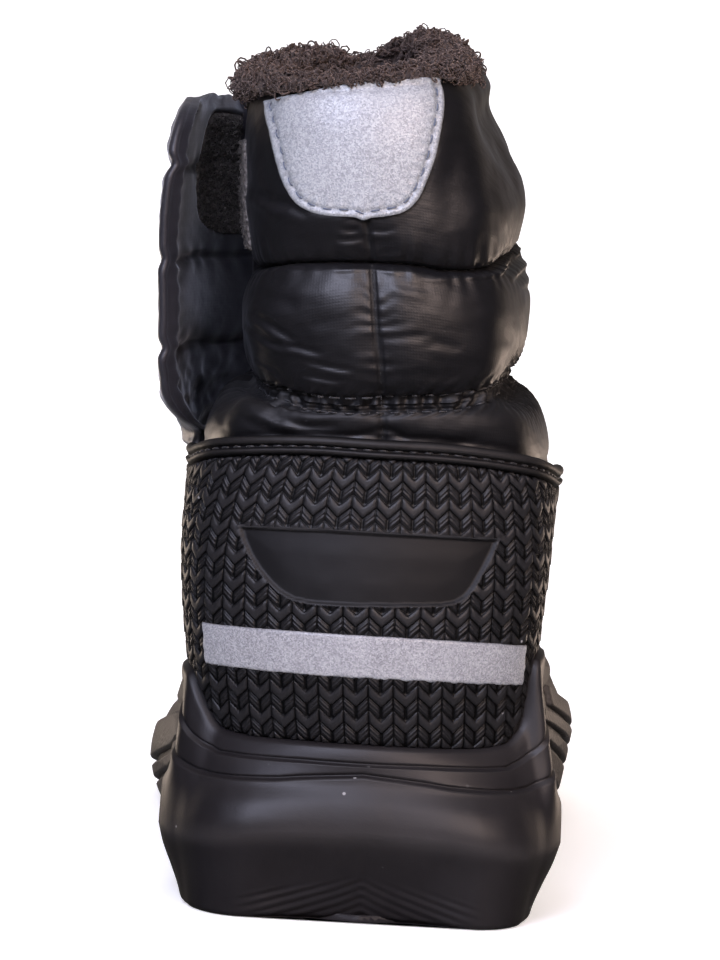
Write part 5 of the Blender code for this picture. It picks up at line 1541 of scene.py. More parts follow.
def build_counter_skin():
    a, u = counter_grid()
    p = skin(a, u, GAP + COUNTER_THICK)
    x, z = p[..., 0], p[..., 2]
    w = np.interp(a, ACROSS_A, ACROSS_W)
    h, _ = chevrons(w + 1.2, z - 0.02 * w)
    inside = recess_depth_inside(x, z)
    low, high = strip_bounds(a)
    in_strip = step(-0.25, 0.15, z - low) * step(-0.25, 0.15, high - z) * step(STRIP_ENDS[0] - 0.3, STRIP_ENDS[0] + 0.1, a) * (1 - step(STRIP_ENDS[1] - 0.1, STRIP_ENDS[1] + 0.3, a))
    bare = step(-0.55, -0.15, inside)
    border = np.minimum(COUNTER_ANGLE - np.abs(a), 6.0) / 6.0
    rise = 0.62 * h * (1 - bare) * (1 - in_strip) * step(0.02, 0.35, border) - 0.30
    rise = np.where(in_strip > 0.5, -0.12, rise)
    rise = rise * (1 - bare) + bare * 0.06  # the rim that frames the recess
    rise = rise - (0.06 + RECESS_DEPTH) * step(0.0, 0.5, inside)
    rise = rise + 0.05 * bell(inside - 0.05, 0.16)
    # a crown across the bare face, and the moulding's own unevenness
    rise = rise + 0.18 * step(0, 5, inside) + 0.05 * noise3(p, 9, 1) + 0.03 * noise3(p, 3, 2)
    edge_u = np.minimum(np.arange(a.shape[0]), np.arange(a.shape[0])[::-1])[:, None]
    edge_c = np.minimum(np.arange(a.shape[1]), np.arange(a.shape[1])[::-1])[None, :]
    rounding = np.where(edge_u < 3, (0.55, 0.22, 0.06)[0] * (1 - edge_u / 3.0) ** 2, 0) + np.where(edge_c < 3, 0.6 * (1 - edge_c / 3.0) ** 2, 0)
    n = outward(a, u)
    outer = p + n * (rise - rounding)[..., None]
    inner = skin(a, u, GAP)
    soup = Soup()
    uv = np.stack([w + 1.2, z - 0.02 * w], -1)
    # painted highlight: the rubber's mark pales the arrows' raised tops, and draws a pale line round the recess,
    # strongest along its top
    recess_top_highlight = step(73.5, 74.6, z)
    mark = np.clip(h, 0, 1) * (1 - bare) * 0.55 + (0.16 + 0.5 * recess_top_highlight) * bell(inside, 0.20)
    first = soup.add(outer, grid_faces(*a.shape), uv=uv, mark=mark, kind=0)
    # the bare recess keeps a smoother finish
    faces = grid_faces(*a.shape)
    smooth = (inside.ravel()[faces] > -0.3).all(1)
    soup.kind4[0] = np.where(smooth, 1, 0)
    close_back(soup, outer, inner, first)
    made = piece("counter_skin", soup, [COUNTER_RUBBER, COUNTER_PLAIN], ["heel_counter"])
    fix_normals(made)
    return made


def counter_surface(angle, height, lift):
    return skin(angle, ring_at(angle, height), GAP + COUNTER_THICK + lift)


def build_strip():
    count, rows_n = (361, 23) if FINE else (161, 13)
    mid = lambda a: counter_surface(a, np.full(a.shape, 51.6), 0.0)
    angle = spaced(mid, *STRIP_ENDS, count)
    low, high = strip_bounds(angle)
    w = np.interp(angle, ACROSS_A, ACROSS_W)
    nibble = 0.16 * np.abs(np.sin(np.pi * (w + 1.2) / CHEVRON_WIDE)) + 0.10 * noise2(w / 1.6, 0 * w, 1)
    low = low + nibble
    high = high + 0.06 * noise2(w / 2.1, 3 + 0 * w, 2)
    t = np.linspace(0, 1, rows_n)[:, None]
    z = low + (high - low) * t
    ends = 0.35 * noise2(t * 7, 0 * t, 3)
    a = np.broadcast_to(angle, z.shape) + ends * np.where(np.arange(count) < 3, 1, 0) - ends * np.where(np.arange(count) > count - 4, 1, 0)
    u = ring_at(a, z)
    edge = np.minimum(np.arange(rows_n), np.arange(rows_n)[::-1])[:, None]
    edge_c = np.minimum(np.arange(count), np.arange(count)[::-1])[None, :]
    press = np.where((edge < 1) | (edge_c < 1), 0.22, 0.0)
    lift = 0.20 - press + 0.035 * noise2(w[None, :] / 2.5, z / 2.5, 4)
    outer = skin(a, u, GAP + COUNTER_THICK + lift)
    inner = skin(a, u, GAP + COUNTER_THICK - 0.35)
    soup = Soup()
    # painted shade: darker along the pressed-down edges
    mark = np.where((edge < 1) | (edge_c < 1), 0.7, 0.0)
    first = soup.add(outer, grid_faces(*z.shape), uv=np.stack([np.broadcast_to(w, z.shape), z], -1), mark=mark)
    close_back(soup, outer, inner, first)
    made = piece("reflective_strip", soup, [STRIP_FILM])
    fix_normals(made)
    return made


# ================================================================ binding along the counter's top
def binding_profile():
    """Outward offset and height of the binding's section: lower roll, stitched groove, upper roll."""
    return ((0.30, -0.15), (1.55, -0.35), (2.35, -0.10), (2.72, 0.30), (2.76, 0.62), (2.52, 0.92), (2.12, 1.08), (2.02, 1.30), (2.10, 1.52),
            (2.60, 1.66), (3.02, 1.95), (3.12, 2.35), (2.98, 2.85), (2.50, 3.28), (1.80, 3.50), (1.20, 3.46), (0.75, 3.30), (0.35, 2.6), (0.25, 1.2))


def binding_point(angle, offset, high):
    z = counter_top(angle) + GAP + high
    u = ring_at(angle, z)
    return skin(angle, u, GAP + offset)


def build_binding_skin():
    count = 421 if FINE else 181
    mid = lambda a: skin(a, ring_at(a, counter_top(a) + 1.5), 2.5)
    angle = spaced(mid, -COUNTER_ANGLE, COUNTER_ANGLE, count)
    w = lengths(mid(angle)[None], 1)[0]
    profile = binding_profile()
    grid = []
    for k, (offset, high) in enumerate(profile):
        wob = 0.10 * noise2(w / 7.0, k * 0.35 + 0 * w, 1) + 0.05 * noise2(w / 2.4, k * 0.5 + 0 * w, 2)
        dent = 0.0
        if 5 <= k <= 9:
            dent = -0.10 * bell(((w / 2.9) % 1.0 - 0.5) / 0.22, 1.0)
        tip = step(0, 2.0, np.minimum(w, w[-1] - w))
        grid.append(binding_point(angle, 0.3 + (offset - 0.3 + (wob + dent) * (offset > 1)) * (0.55 + 0.45 * tip), high * (0.85 + 0.15 * tip) + 0.25 * (1 - tip)))
    grid = np.array(grid)
    soup = Soup()
    uv = sheet_uv(grid)
    mark = np.zeros(grid.shape[:2])
    # painted highlight: the rubber's mark pales the outer crowns of both rolls
    mark[[3, 4, 10, 11, 12]] = 0.45
    n = grid.shape[0]
    quads = grid_faces(*grid.shape[:2], closed_rows=True)
    first = soup.add(grid, quads, uv=uv, mark=mark)
    for col in (0, count - 1):
        centre = soup.add(grid[:, col].mean(0, keepdims=True))
        ring = first + np.arange(n) * count + col
        soup.tris.append(np.stack([np.full(n, centre), ring, np.roll(ring, -1)], -1))
        soup.kind3.append(np.zeros(n, int))
    made = piece("binding_skin", soup, [BINDING_RUBBER], ["counter_binding"])
    fix_normals(made)
    # the row of stitches in the groove
    path = binding_point(angle, 0 * angle + 2.03, 1.30)
    normal = outward(angle, ring_at(angle, counter_top(angle) + 1.6))
    lines = stitch_lines(path, normal, 2.9, 0.66, 0.30, 0.20)
    soup = Soup()
    pts, quads, tris = strands(lines, 0.21, 6, 0.7)
    soup.add(pts, quads, tris)
    piece("binding_stitches", soup, [BLACK_THREAD], turn=False)
    return made


# ================================================================ reflective tab at the back of the collar
def tab_surface(angle, u, x, z, lift):
    smooth, _ = smooth_swell(angle, u, x)
    puff = 0.22 * noise3(np.stack([x, 0 * x, z], -1), 12, 2) + 0.10 * noise3(np.stack([x, 0 * x, z], -1), 5, 3)
    return smooth + puff + lift


def tab_points(x, z, lift):
    a = angle_at(x, z)
    u = np.minimum(ring_at(a, z), RING["collar"] - 0.001)
    extra = np.maximum(0, z - base(a, u)[..., 2])  # the tab runs on a little under the pile
    p = base(a, u) + outward(a, u) * tab_surface(a, u, x, z, lift)[..., None]
    p[..., 2] += extra
    return p, outward(a, u)


def build_tab():
    rows_n, cols = (84, 92) if FINE else (40, 44)
    share = np.linspace(0.012, 1.0, rows_n)
    left = np.stack([np.interp(share, np.linspace(0, 1, len(TAB_L)), TAB_L[:, k]) for k in (0, 1)], -1)
    right = np.stack([np.interp(share, np.linspace(0, 1, len(TAB_R)), TAB_R[:, k]) for k in (0, 1)], -1)
    t = np.linspace(0, 1, cols)
    t = t - 0.06 * np.sin(2 * np.pi * t)  # closer together at the edges
    line = left[:, None, :] * (1 - t)[None, :, None] + right[:, None, :] * t[None, :, None]
    line[..., 1] += 1.1 * np.sin(np.pi * t)[None, :] * (share**5)[:, None]  # its top edge is arched
    x, z = line[..., 0], line[..., 1]
    outline_line = np.vstack([TAB_L[::-1], TAB_R])
    away, along, _ = near_line(x, z, outline_line[::3])
    groove = -0.30 * bell(away - 1.35, 0.42)
    lift = 0.55 + groove - 0.28 * (1 - step(0, 0.5, away)) + 0.20 * step(1.8, 5.0, away)
    gather = 0.13 * np.cos(along * 2 * np.pi * 28) * bell(away - 1.7, 1.4)
    outer, n = tab_points(x, z, lift + gather)
    inner, _ = tab_points(x, z, -0.25 + 0 * x)
    soup = Soup()
    # painted shade: darker along the pressed-down edge and in the stitch groove
    mark = 0.9 * (1 - step(0.0, 0.35, away)) + 0.35 * bell(away - 1.35, 0.35)
    first = soup.add(outer, grid_faces(rows_n, cols), uv=np.stack([x, z], -1), mark=np.clip(mark, 0, 1))
    close_back(soup, outer, inner, first, 3)
    made = piece("reflective_tab", soup, [TAB_FILM])
    fix_normals(made)
    # stitches 1.35 mm inside the edge
    path = outline_line
    d = np.gradient(path, axis=0)
    d /= np.linalg.norm(d, axis=1, keepdims=True)
    inward = np.stack([-d[:, 1], d[:, 0]], -1)
    if ((np.array([-8.0, 150.0]) - path[60]) * inward[60]).sum() < 0:
        inward = -inward
    inset = path + inward * 1.35
    inset = inset[(inset[:, 1] < 162.4)]
    smooth = np.stack([np.convolve(np.pad(inset[:, k], 4, mode="edge"), np.ones(9) / 9, mode="valid") for k in (0, 1)], -1)
    pts, n = tab_points(smooth[:, 0], smooth[:, 1], np.full(len(smooth), 0.36))
    lines = stitch_lines(pts, n, 3.1, 0.62, 0.34, 0.26)
    wander = 0.07 * np.random.default_rng(5).normal(size=(len(lines), 1, 3))
    tube, quads, tris = strands(lines + wander, 0.15, 7, 0.75)
    soup = Soup()
    soup.add(tube, quads, tris)
    piece("tab_stitches", soup, [LIGHT_THREAD], turn=False)
    return made


# ================================================================ stitches on the upper
def build_ruche_stitches():
    angle = spaced(lambda a: base(a, np.full(a.shape, 8.0)), -66, 92, 900)
    soup = Soup()
    for row, away in enumerate((-1.05, 1.05)):
        x = base(angle, np.full(angle.shape, 8.0))[:, 0]
        low = table(RUCHE_WAVE, x)
        u = np.full(angle.shape, RING["ruche"]) + (low + away) / (6.8 if away < 0 else 25.5)
        p = base(angle, u)
        w = lengths(p[None], 1)[0]
        w = w - np.interp(0.0, angle, w)
        r = upper_relief(angle[None], u[None], p[None], w[None])[0]
        path = p + outward(angle, u) * (r + 0.10)[:, None]
        smooth = np.stack([np.convolve(np.pad(path[:, k], 6, mode="edge"), np.ones(13) / 13, mode="valid") for k in range(3)], -1)
        lines = stitch_lines(smooth, outward(angle, u), 3.15, 0.6, 0.35, 0.22)
        pts, quads, tris = strands(lines, 0.17, 6, 0.7)
        soup.add(pts, quads, tris)
    piece("ruche_stitches", soup, [BLACK_THREAD], turn=False)


def build_seam_stitches():
    """Small threads lying in the grooves of the middle seam and of the back seam."""
    soup = Soup()
    angle = spaced(lambda a: base(a, np.full(a.shape, 9.0)), -62, 100, 900)
    x = base(angle, np.full(angle.shape, 9.0))[:, 0]
    u = follow_seams(angle, np.full(angle.shape, RING["seam"]))
    z = np.linspace(89.0, 134.4, 500)
    back_x = table(CENTRE_SEAM, z)
    back_angle = angle_at(back_x, z)
    for a, level, pitch in ((angle, u, 2.3), (back_angle, ring_at(back_angle, z), 1.75)):
        p = base(a, level)
        w = lengths(p[None], 1)[0]
        w = w - np.interp(0.0, a, w) if pitch > 2 else 0 * w
        relief = upper_relief(a[None], level[None], p[None], w[None])[0]
        path = p + outward(a, level) * (relief + 0.02)[:, None]
        smooth = np.stack([np.convolve(np.pad(path[:, k], 5, mode="edge"), np.ones(11) / 11, mode="valid") for k in range(3)], -1)
        lines = stitch_lines(smooth, outward(a, level), pitch, 0.62, 0.22, 0.14)
        pts, quads, tris = strands(lines, 0.12, 6, 0.7)
        soup.add(pts, quads, tris, kind=0 if pitch > 2 else 1)
    piece("seam_stitches", soup, [SEAM_THREAD, BLACK_THREAD], turn=False)


# ================================================================ the open flap
def flap_relief(t, z):
    """Swell and creases of the flap's outer and inner faces, in mm."""
    swell = np.zeros(z.shape)
    seam_near = np.full(z.shape, 99.0)
    wander = 1.2 * noise2(t * 3.0, z / 40.0, 1)
    for low, high in zip(FLAP_SEAMS, FLAP_SEAMS[1:]):
        s = np.clip((z + wander - low) / (high - low), 0, 1)
        swell += FLAP_PUFF * (4 * s * (1 - s)) ** 0.6
    for seam in FLAP_SEAMS[1:-1]:
        seam_near = np.minimum(seam_near, np.abs(z + wander - seam))
    border = np.minimum(step(-0.16, 0.05, t), 1 - step(0.90, 1.0, t))
    border = np.minimum(border, np.minimum(step(FLAP_ROWS[0][0] - 3.0, FLAP_ROWS[0][0] + 3, z), 1 - step(153.2, 157, z)))
    return swell, seam_near, border, wander


HEM_AT = 0.885


def flap_faces(t, z, inside):
    swell, seam_near, border, _ = flap_relief(t, z)
    s = t * 53.0
    q = np.stack([s * 0.9, 0 * s, z * 1.1], -1)
    low = 1 - step(98, 110, z)
    lean = np.stack([s * 0.42 + 0.35 * (z - 95), 0 * s, z * 0.9 - 0.1 * s], -1)
    crumple = low * (1.9 * (0.45 - np.abs(noise3(lean, 5.2, 1))) + 0.9 * (0.4 - np.abs(noise3(lean, 2.6, 2))) + 0.35 * noise3(lean, 1.3, 3))
    wide = np.stack([s * 0.34, 0 * s, z], -1)
    folds = 0.42 * noise3(wide, 10, 4) + 0.16 * noise3(wide, 4.4, 5)
    pucker = np.cos(s * 2 * np.pi / 9.5 + 2.4 * noise2(s / 14, z / 6, 2)) * np.exp(-seam_near / 2.0) * (1 - bell(seam_near, 0.5))
    groove = bell(seam_near, 0.75)
    hem_mm = (t - HEM_AT) * 53.0
    stitched = bell(hem_mm, 0.55)
    radiating = np.cos(z * 2 * np.pi / 3.6 + 2.8 * noise2(z / 9.0, s / 8.0, 3)) * np.exp(-np.abs(hem_mm) / 2.6) * (1 + 1.2 * bell(seam_near, 4.0))
    if inside:
        h = FLAP_EDGE / 2 + (FLAP_THICK / 2 - FLAP_EDGE / 2 + 0.42 * swell) * border
        h = h + border * (0.5 * crumple + 0.8 * folds + 0.28 * pucker - 0.45 * groove) - 0.50 * stitched + 0.22 * radiating * (1 - stitched)
        h = h + 1.15 * bell(hem_mm - 3.0, 2.2)  # the outer face rolls round the edge
        patch = hook_mask(t, z)
        h = h * (1 - patch) + patch * np.minimum(h, FLAP_THICK / 2 + 0.2)
    else:
        near_edge = step(0.45, 0.95, t)
        h = FLAP_EDGE / 2 + (FLAP_THICK / 2 - FLAP_EDGE / 2 + swell) * border * (1 - 0.72 * near_edge)
        h = h + border * (0.7 * crumple + folds + 0.40 * pucker - 0.7 * groove) * (1 - 0.5 * near_edge) + 0.14 * radiating
    return np.maximum(h, 0.35)


HOOK_EDGE = ((129.0, 0.26), (130.2, 0.40), (132.0, 0.49), (134.5, 0.535), (138.5, 0.55), (143.0, 0.52), (148.0, 0.48), (152.0, 0.44), (153.4, 0.38))
HOOK_ROOT = 0.02


def hook_mask(t, z):
    edge = table(HOOK_EDGE, z)
    return step(HOOK_ROOT - 0.03, HOOK_ROOT, t) * (1 - step(edge, edge + 0.02, t)) * step(128.6, 129.4, z) * (1 - step(153.2, 154.0, z))


def build_flap_skin():
    cols, rows_n = (104, 110) if FINE else (60, 62)
    share = np.linspace(0, 1, cols)
    share = share - 0.055 * np.sin(2 * np.pi * share)
    share = -0.16 + 1.16 * share
    heights = np.linspace(FLAP_ROWS[0][0] - 2.6, FLAP_ROWS[-1][0], rows_n)
    t, z = np.meshgrid(share, heights)
    out_h, in_h = flap_faces(t, z, False), flap_faces(t, z, True)
    # both faces come together in a rounded edge
    outer = flap_edge(t, z, out_h)
    inner = flap_edge(t, z, -in_h)
    soup = Soup()
    uv = np.stack([t * 53.0, z], -1)
    a = soup.add(outer, grid_faces(rows_n, cols), uv=uv)
    b = soup.add(inner, grid_faces(rows_n, cols)[:, ::-1], uv=uv + np.array([60, 0]))
    # rounded rims between them: three steps all the way round
    loop = [(0, c) for c in range(cols)] + [(r, cols - 1) for r in range(1, rows_n)]
    loop += [(rows_n - 1, c) for c in range(cols - 2, -1, -1)] + [(r, 0) for r in range(rows_n - 2, 0, -1)]
    r_i, c_i = np.array(loop).T
    pa, pb = outer[r_i, c_i], inner[r_i, c_i]
    away = np.zeros_like(pa)
    mid = (pa + pb) / 2
    centre = flap_edge(np.clip(t[r_i, c_i], -0.13, 0.97), np.clip(z[r_i, c_i], FLAP_ROWS[0][0] - 0.6, FLAP_ROWS[-1][0] - 2), 0 * t[r_i, c_i])
    away = mid - centre
    away /= np.maximum(np.linalg.norm(away, axis=1, keepdims=True), 1e-9)
    previous = a + r_i * cols + c_i
    n = len(loop)
    for k, f in enumerate((0.2, 0.5, 0.8)):
        row = pa * (1 - f) + pb * f + away * (0.75 * math.sin(math.pi * f))
        start = soup.add(row, uv=uv[r_i, c_i] + np.array([k + 1.0, 0]))
        now = start + np.arange(n)
        soup.quads.append(np.stack([previous, np.roll(previous, -1), np.roll(now, -1), now], -1))
        soup.kind4.append(np.zeros(n, int))
        previous = now
    last = b + r_i * cols + c_i
    soup.quads.append(np.stack([previous, np.roll(previous, -1), np.roll(last, -1), last], -1))
    soup.kind4.append(np.zeros(n, int))
    made = piece("flap_skin", soup, [LIT_FLAP_NYLON], ["flap"])
    fix_normals(made)
    # edge stitches on the inner face
    zz = np.linspace(92, 154.2, 500)
    tt = np.full(zz.shape, HEM_AT) - 0.10 * step(150.5, 154.5, zz) ** 2
    h = flap_faces(tt, zz, True)
    path = flap_edge(tt, zz, -h)
    normal = flap_edge(tt, zz, -h - 1.0) - path
    lines = stitch_lines(path, normal, 2.6, 0.6, 0.3, 0.16)
    pts, quads, tris = strands(lines, 0.15, 6, 0.7)
    soup = Soup()
    soup.add(pts, quads, tris)
    piece("flap_stitches", soup, [BLACK_THREAD], turn=False)
    return made


def flap_edge(t, z, offset):
    """The flap's point with its free edge pinched in at the seams and crumpled at its foot."""
    low_z = FLAP_ROWS[0][0]
    p = flap_point(t, np.maximum(z, low_z), offset)
    p[..., 2] = z
    tuck = np.clip(-t, 0, None) / 0.16  # the root turns in to the shaft
    p[..., 0] += 8.5 * tuck**1.4
    p[..., 1] -= 2.5 * tuck
    pinch = sum(k * bell(z - s, 1.5) for k, s in zip((0.75, 0.55, 0.95, 0.60, 0.80, 0.5), FLAP_SEAMS[1:-1])) - 0.25
    low = 1 - step(96, 108, z)
    ripple = 0.5 * noise2(z / 3.2, 0 * z, 4) * low + 0.25 * noise2(z / 5.0, 2 + 0 * z, 5)
    heights = [row[0] for row in FLAP_ROWS]
    ex = curve(heights, [r[1][0] for r in FLAP_ROWS], z) - curve(heights, [r[2][0] for r in FLAP_ROWS], z)
    ey = curve(heights, [r[1][1] for r in FLAP_ROWS], z) - curve(heights, [r[2][1] for r in FLAP_ROWS], z)
    length = np.hypot(ex, ey)
    back = (pinch + ripple) * step(0.72, 1.0, t)
    # the pinches show from behind, so they draw the edge across as well as along
    p[..., 0] += -ex / length * back + 0.85 * back
    p[..., 1] += -ey / length * back
    p[..., 0] -= (1.1 - 2.9 * (1 - step(88.5, 97, z))) * step(0.62, 0.98, t)  # the free edge curls outwards, and in at its foot
    p[..., 2] += 0.5 * noise2(t * 9.0, 0 * t, 6) * step(150, 156.4, z) + 0.9 * bell(t - 0.45, 0.35) * step(146, 156.4, z)
    return p


def build_hook_patch():
    rows_n, cols = (56, 40)
    v = np.linspace(0, 1, rows_n)[:, None]
    z = 129.0 + (153.4 - 129.0) * v
    s = np.linspace(0, 1, cols)[None, :]
    t = HOOK_ROOT + (table(HOOK_EDGE, z) - HOOK_ROOT) * s
    z = np.broadcast_to(z, t.shape)
    q = np.stack([t * 53, 0 * t, z], -1)
    level = np.minimum(flap_faces(t, z, True), FLAP_THICK / 2 + 0.5)
    edge = np.minimum(np.minimum(s, 1 - s) * 14, np.minimum(v, 1 - v) * 30)
    lift = 0.55 * step(0.0, 0.35, edge) + 0.10 * noise3(q, 1.6, 1)
    outer = flap_edge(t, z, -(level + 0.12 + lift))
    inner = flap_edge(t, z, -(level - 0.35))
    soup = Soup()
    first = soup.add(outer, grid_faces(rows_n, cols), uv=np.stack([t * 53, z], -1))
    close_back(soup, outer, inner, first, 3)
    made = piece("hook_patch", soup, [HOOK])
    fix_normals(made)
    rng = np.random.default_rng(11)
    count = 1150 if FINE else 400
    zz = rng.uniform(129.6, 152.8, count)
    tt = HOOK_ROOT + 0.012 + (table(HOOK_EDGE, zz) - HOOK_ROOT - 0.024) * rng.uniform(0, 1, count)
    base_h = np.minimum(flap_faces(tt, zz, True), FLAP_THICK / 2 + 0.5) + 0.60
    root = flap_edge(tt, zz, -base_h)
    up = flap_edge(tt, zz, -base_h - 1.0) - root
    up /= np.linalg.norm(up, axis=1, keepdims=True)
    side = np.cross(up, rng.normal(size=(count, 3)))
    side /= np.linalg.norm(side, axis=1, keepdims=True)
    k = np.linspace(0, 1, 7)[None, :, None]
    r = rng.uniform(0.22, 0.42, (count, 1, 1))
    tall = rng.uniform(0.35, 0.75, (count, 1, 1))
    lines = root[:, None] + up[:, None] * (tall * np.sin(k * np.pi * 0.85)) + side[:, None] * (r * (1 - np.cos(k * np.pi)))
    pts, quads, tris = strands(lines, rng.uniform(0.05, 0.085, count), 3, 0.6)
    soup = Soup()
    soup.add(pts, quads, tris)
    piece("hook_patch_hooks", soup, [HOOK], turn=False)
    # its sewn edge
    zz = np.linspace(129.6, 152.8, 240)
    tt = table(HOOK_EDGE, zz) - 0.022
    h = np.minimum(flap_faces(tt, zz, True), FLAP_THICK / 2 + 0.5) + 0.62
    path = flap_edge(tt, zz, -h)
    lines = stitch_lines(path, flap_edge(tt, zz, -h - 1) - path, 2.3, 0.62, 0.25, 0.14)
    pts, quads, tris = strands(lines, 0.13, 5, 0.7)
    soup = Soup()
    soup.add(pts, quads, tris)
    piece("hook_patch_stitches", soup, [BLACK_THREAD], turn=False)


def build_loop_patch():
    rows_n, cols = 40, 40
    v = np.linspace(0, 1, rows_n)[:, None]
    s = np.linspace(0, 1, cols)[None, :]
    a = -58.5 - 26.0 * s + 0 * v
    z = 127.6 + 21.8 * v + 0 * s
    u = ring_at(a, z)
    p = base(a, u)
    w = np.interp(a, *arc_at_breast())
    relief = upper_relief(a, u, p, w)
    smooth = np.stack([np.convolve(np.pad(row, 5, mode="edge"), np.ones(11) / 11, mode="valid") for row in relief.T]).T
    edge = np.minimum(np.minimum(s, 1 - s) * 12, np.minimum(v, 1 - v) * 22)
    lift = smooth + 0.10 + 0.45 * step(0, 0.4, edge) + 0.05 * noise3(p, 3.0, 2)
    outer = p + outward(a, u) * lift[..., None]
    inner = p + outward(a, u) * (smooth - 0.5)[..., None]
    soup = Soup()
    first = soup.add(outer, grid_faces(rows_n, cols), uv=np.stack([w, z], -1))
    close_back(soup, outer, inner, first, 3)
    made = piece("loop_patch", soup, [HOOK])
    fix_normals(made)
    rng = np.random.default_rng(12)
    count = 680 if FINE else 300
    aa = rng.uniform(-84.0, -59.0, count)
    zz = rng.uniform(128.0, 149.0, count)
    uu = ring_at(aa, zz)
    pp = base(aa, uu)
    rr = upper_relief(aa[None], uu[None], pp[None], np.interp(aa, *arc_at_breast())[None])[0] + 0.35
    n = outward(aa, uu)
    root = pp + n * rr[:, None]
    side = np.cross(n, rng.normal(size=(count, 3)))
    side /= np.linalg.norm(side, axis=1, keepdims=True)
    k = np.linspace(0, 1, 8)[None, :, None]
    r = rng.uniform(0.25, 0.6, (count, 1, 1))
    tall = rng.uniform(0.35, 0.9, (count, 1, 1))
    lines = root[:, None] + n[:, None] * (tall * np.sin(k * np.pi)) + side[:, None] * (r * (1 - np.cos(k * np.pi)) - r)
    pts, quads, tris = strands(lines, 0.045, 3, 0.8)
    soup = Soup()
    soup.add(pts, quads, tris)
    piece("loop_patch_loops", soup, [HOOK], turn=False)


def arc_at_breast():
    a = np.linspace(-180, 180, 1441)
    p = base(a, np.full(a.shape, 9.6))
    run = np.concatenate([[0], np.cumsum(np.linalg.norm(np.diff(p, axis=0), axis=1))])
    return a, run - np.interp(0.0, a, run)


# ================================================================ curly pile at the collar
def pile_frame(angle):
    top = np.full(angle.shape, RING["collar"])
    rim, normal = base(angle, top), outward(angle, top)
    flat = normal * np.array([1, 1, 0])
    flat /= np.linalg.norm(flat, axis=1, keepdims=True)
    rise = rim - base(angle, top - 0.6)
    rise /= np.linalg.norm(rise, axis=1, keepdims=True)
    return rim, flat, rise


PILE_WALL = WALL_SHAFT + GAP
PILE_SECTION = (  # offset from the skin, height above the collar's edge
    (-PILE_WALL, -20.0), (-PILE_WALL, -8.0), (-PILE_WALL, 0.2), (-1.9, 0.5), (-0.2, 0.0), (0.9, 0.5), (0.8, 1.7), (-0.9, 2.7), (-4.0, 3.0),
    (-PILE_WALL - PILE_DEPTH + 1.4, 2.2), (-PILE_WALL - PILE_DEPTH, -0.8), (-PILE_WALL - PILE_DEPTH, -8.0), (-PILE_WALL - PILE_DEPTH + 0.8, -20.0),
)
# how far the pile's crest rises or sinks round the collar, and how far it leans out: angle, mm, mm
PILE_CREST = ((-180, -3.0), (-172, -2.4), (-160, 0.2), (-150, 1.0), (-135, 0.8), (-120, 0.2), (-100, -0.8), (-80, -1.0), (-60, -0.4), (-45, 0.4), (-25, 0.5),
              (-10, -0.2), (5, 0.0), (20, 0.7), (35, 0.5), (50, 0.0), (70, -1.2), (90, -2.2), (105, -1.6), (118, 0.6), (130, 2.4), (142, 2.2), (152, 0.4), (165, -2.2), (180, -3.0))
PILE_LEAN = ((-180, 0.0), (-90, 0.8), (-60, 1.6), (-35, 0.8), (0, 0.0), (30, 0.0), (45, -1.2), (60, -3.2), (85, -3.8), (110, -3.3), (140, -0.6), (180, 0.0))
# where the pile's foot meets the nylon, above or below the collar's edge
PILE_FOOT = ((-180, 0.0), (-125, 0.0), (-100, -1.0), (-70, -2.2), (-41, -0.1), (-21, 0.5), (-8, 1.1), (4, 1.2), (13, 1.0), (20, 1.4), (29, 0.7), (47, -0.4), (67, -2.4),
             (90, -2.0), (110, -1.0), (130, 0.0), (180, 0.0))


def pile_ring(angle, section_u, lumps=True):
    """Point of the pile's surface at an angle and along its section."""
    sec = np.asarray(PILE_SECTION, float)
    offset, height = spline(sec[:, 0], section_u), spline(sec[:, 1], section_u)
    rim, flat, rise = pile_frame(np.asarray(angle, float).ravel())
    shape = np.shape(angle)
    rim, flat, rise = (q.reshape(shape + (3,)) for q in (rim, flat, rise))
    crest = table(PILE_CREST, angle) * np.clip((height + 6) / 10.0, 0, 1)
    foot_share = bell(section_u - 4.5, 1.5) * (np.asarray(section_u) > 2.4)
    crest = crest * (1 - 0.8 * foot_share) + table(PILE_FOOT, angle) * foot_share
    lean = table(PILE_LEAN, angle) * np.clip((height + 1.0) / 1.5, 0, 1)
    p = rim + flat * (offset + lean)[..., None] + rise * (height + crest)[..., None]
    top = len(RINGS) - 1.0
    down = height < -0.5
    u = np.where(down, top + height / 31.0 * (top - RING["seam"]), top)
    on_skin = skin(angle, u, 0.0) + outward(angle, u) * offset[..., None]
    blend = np.clip((-0.5 - height) / 4.0, 0, 1)[..., None]
    return p * (1 - blend) + on_skin * blend


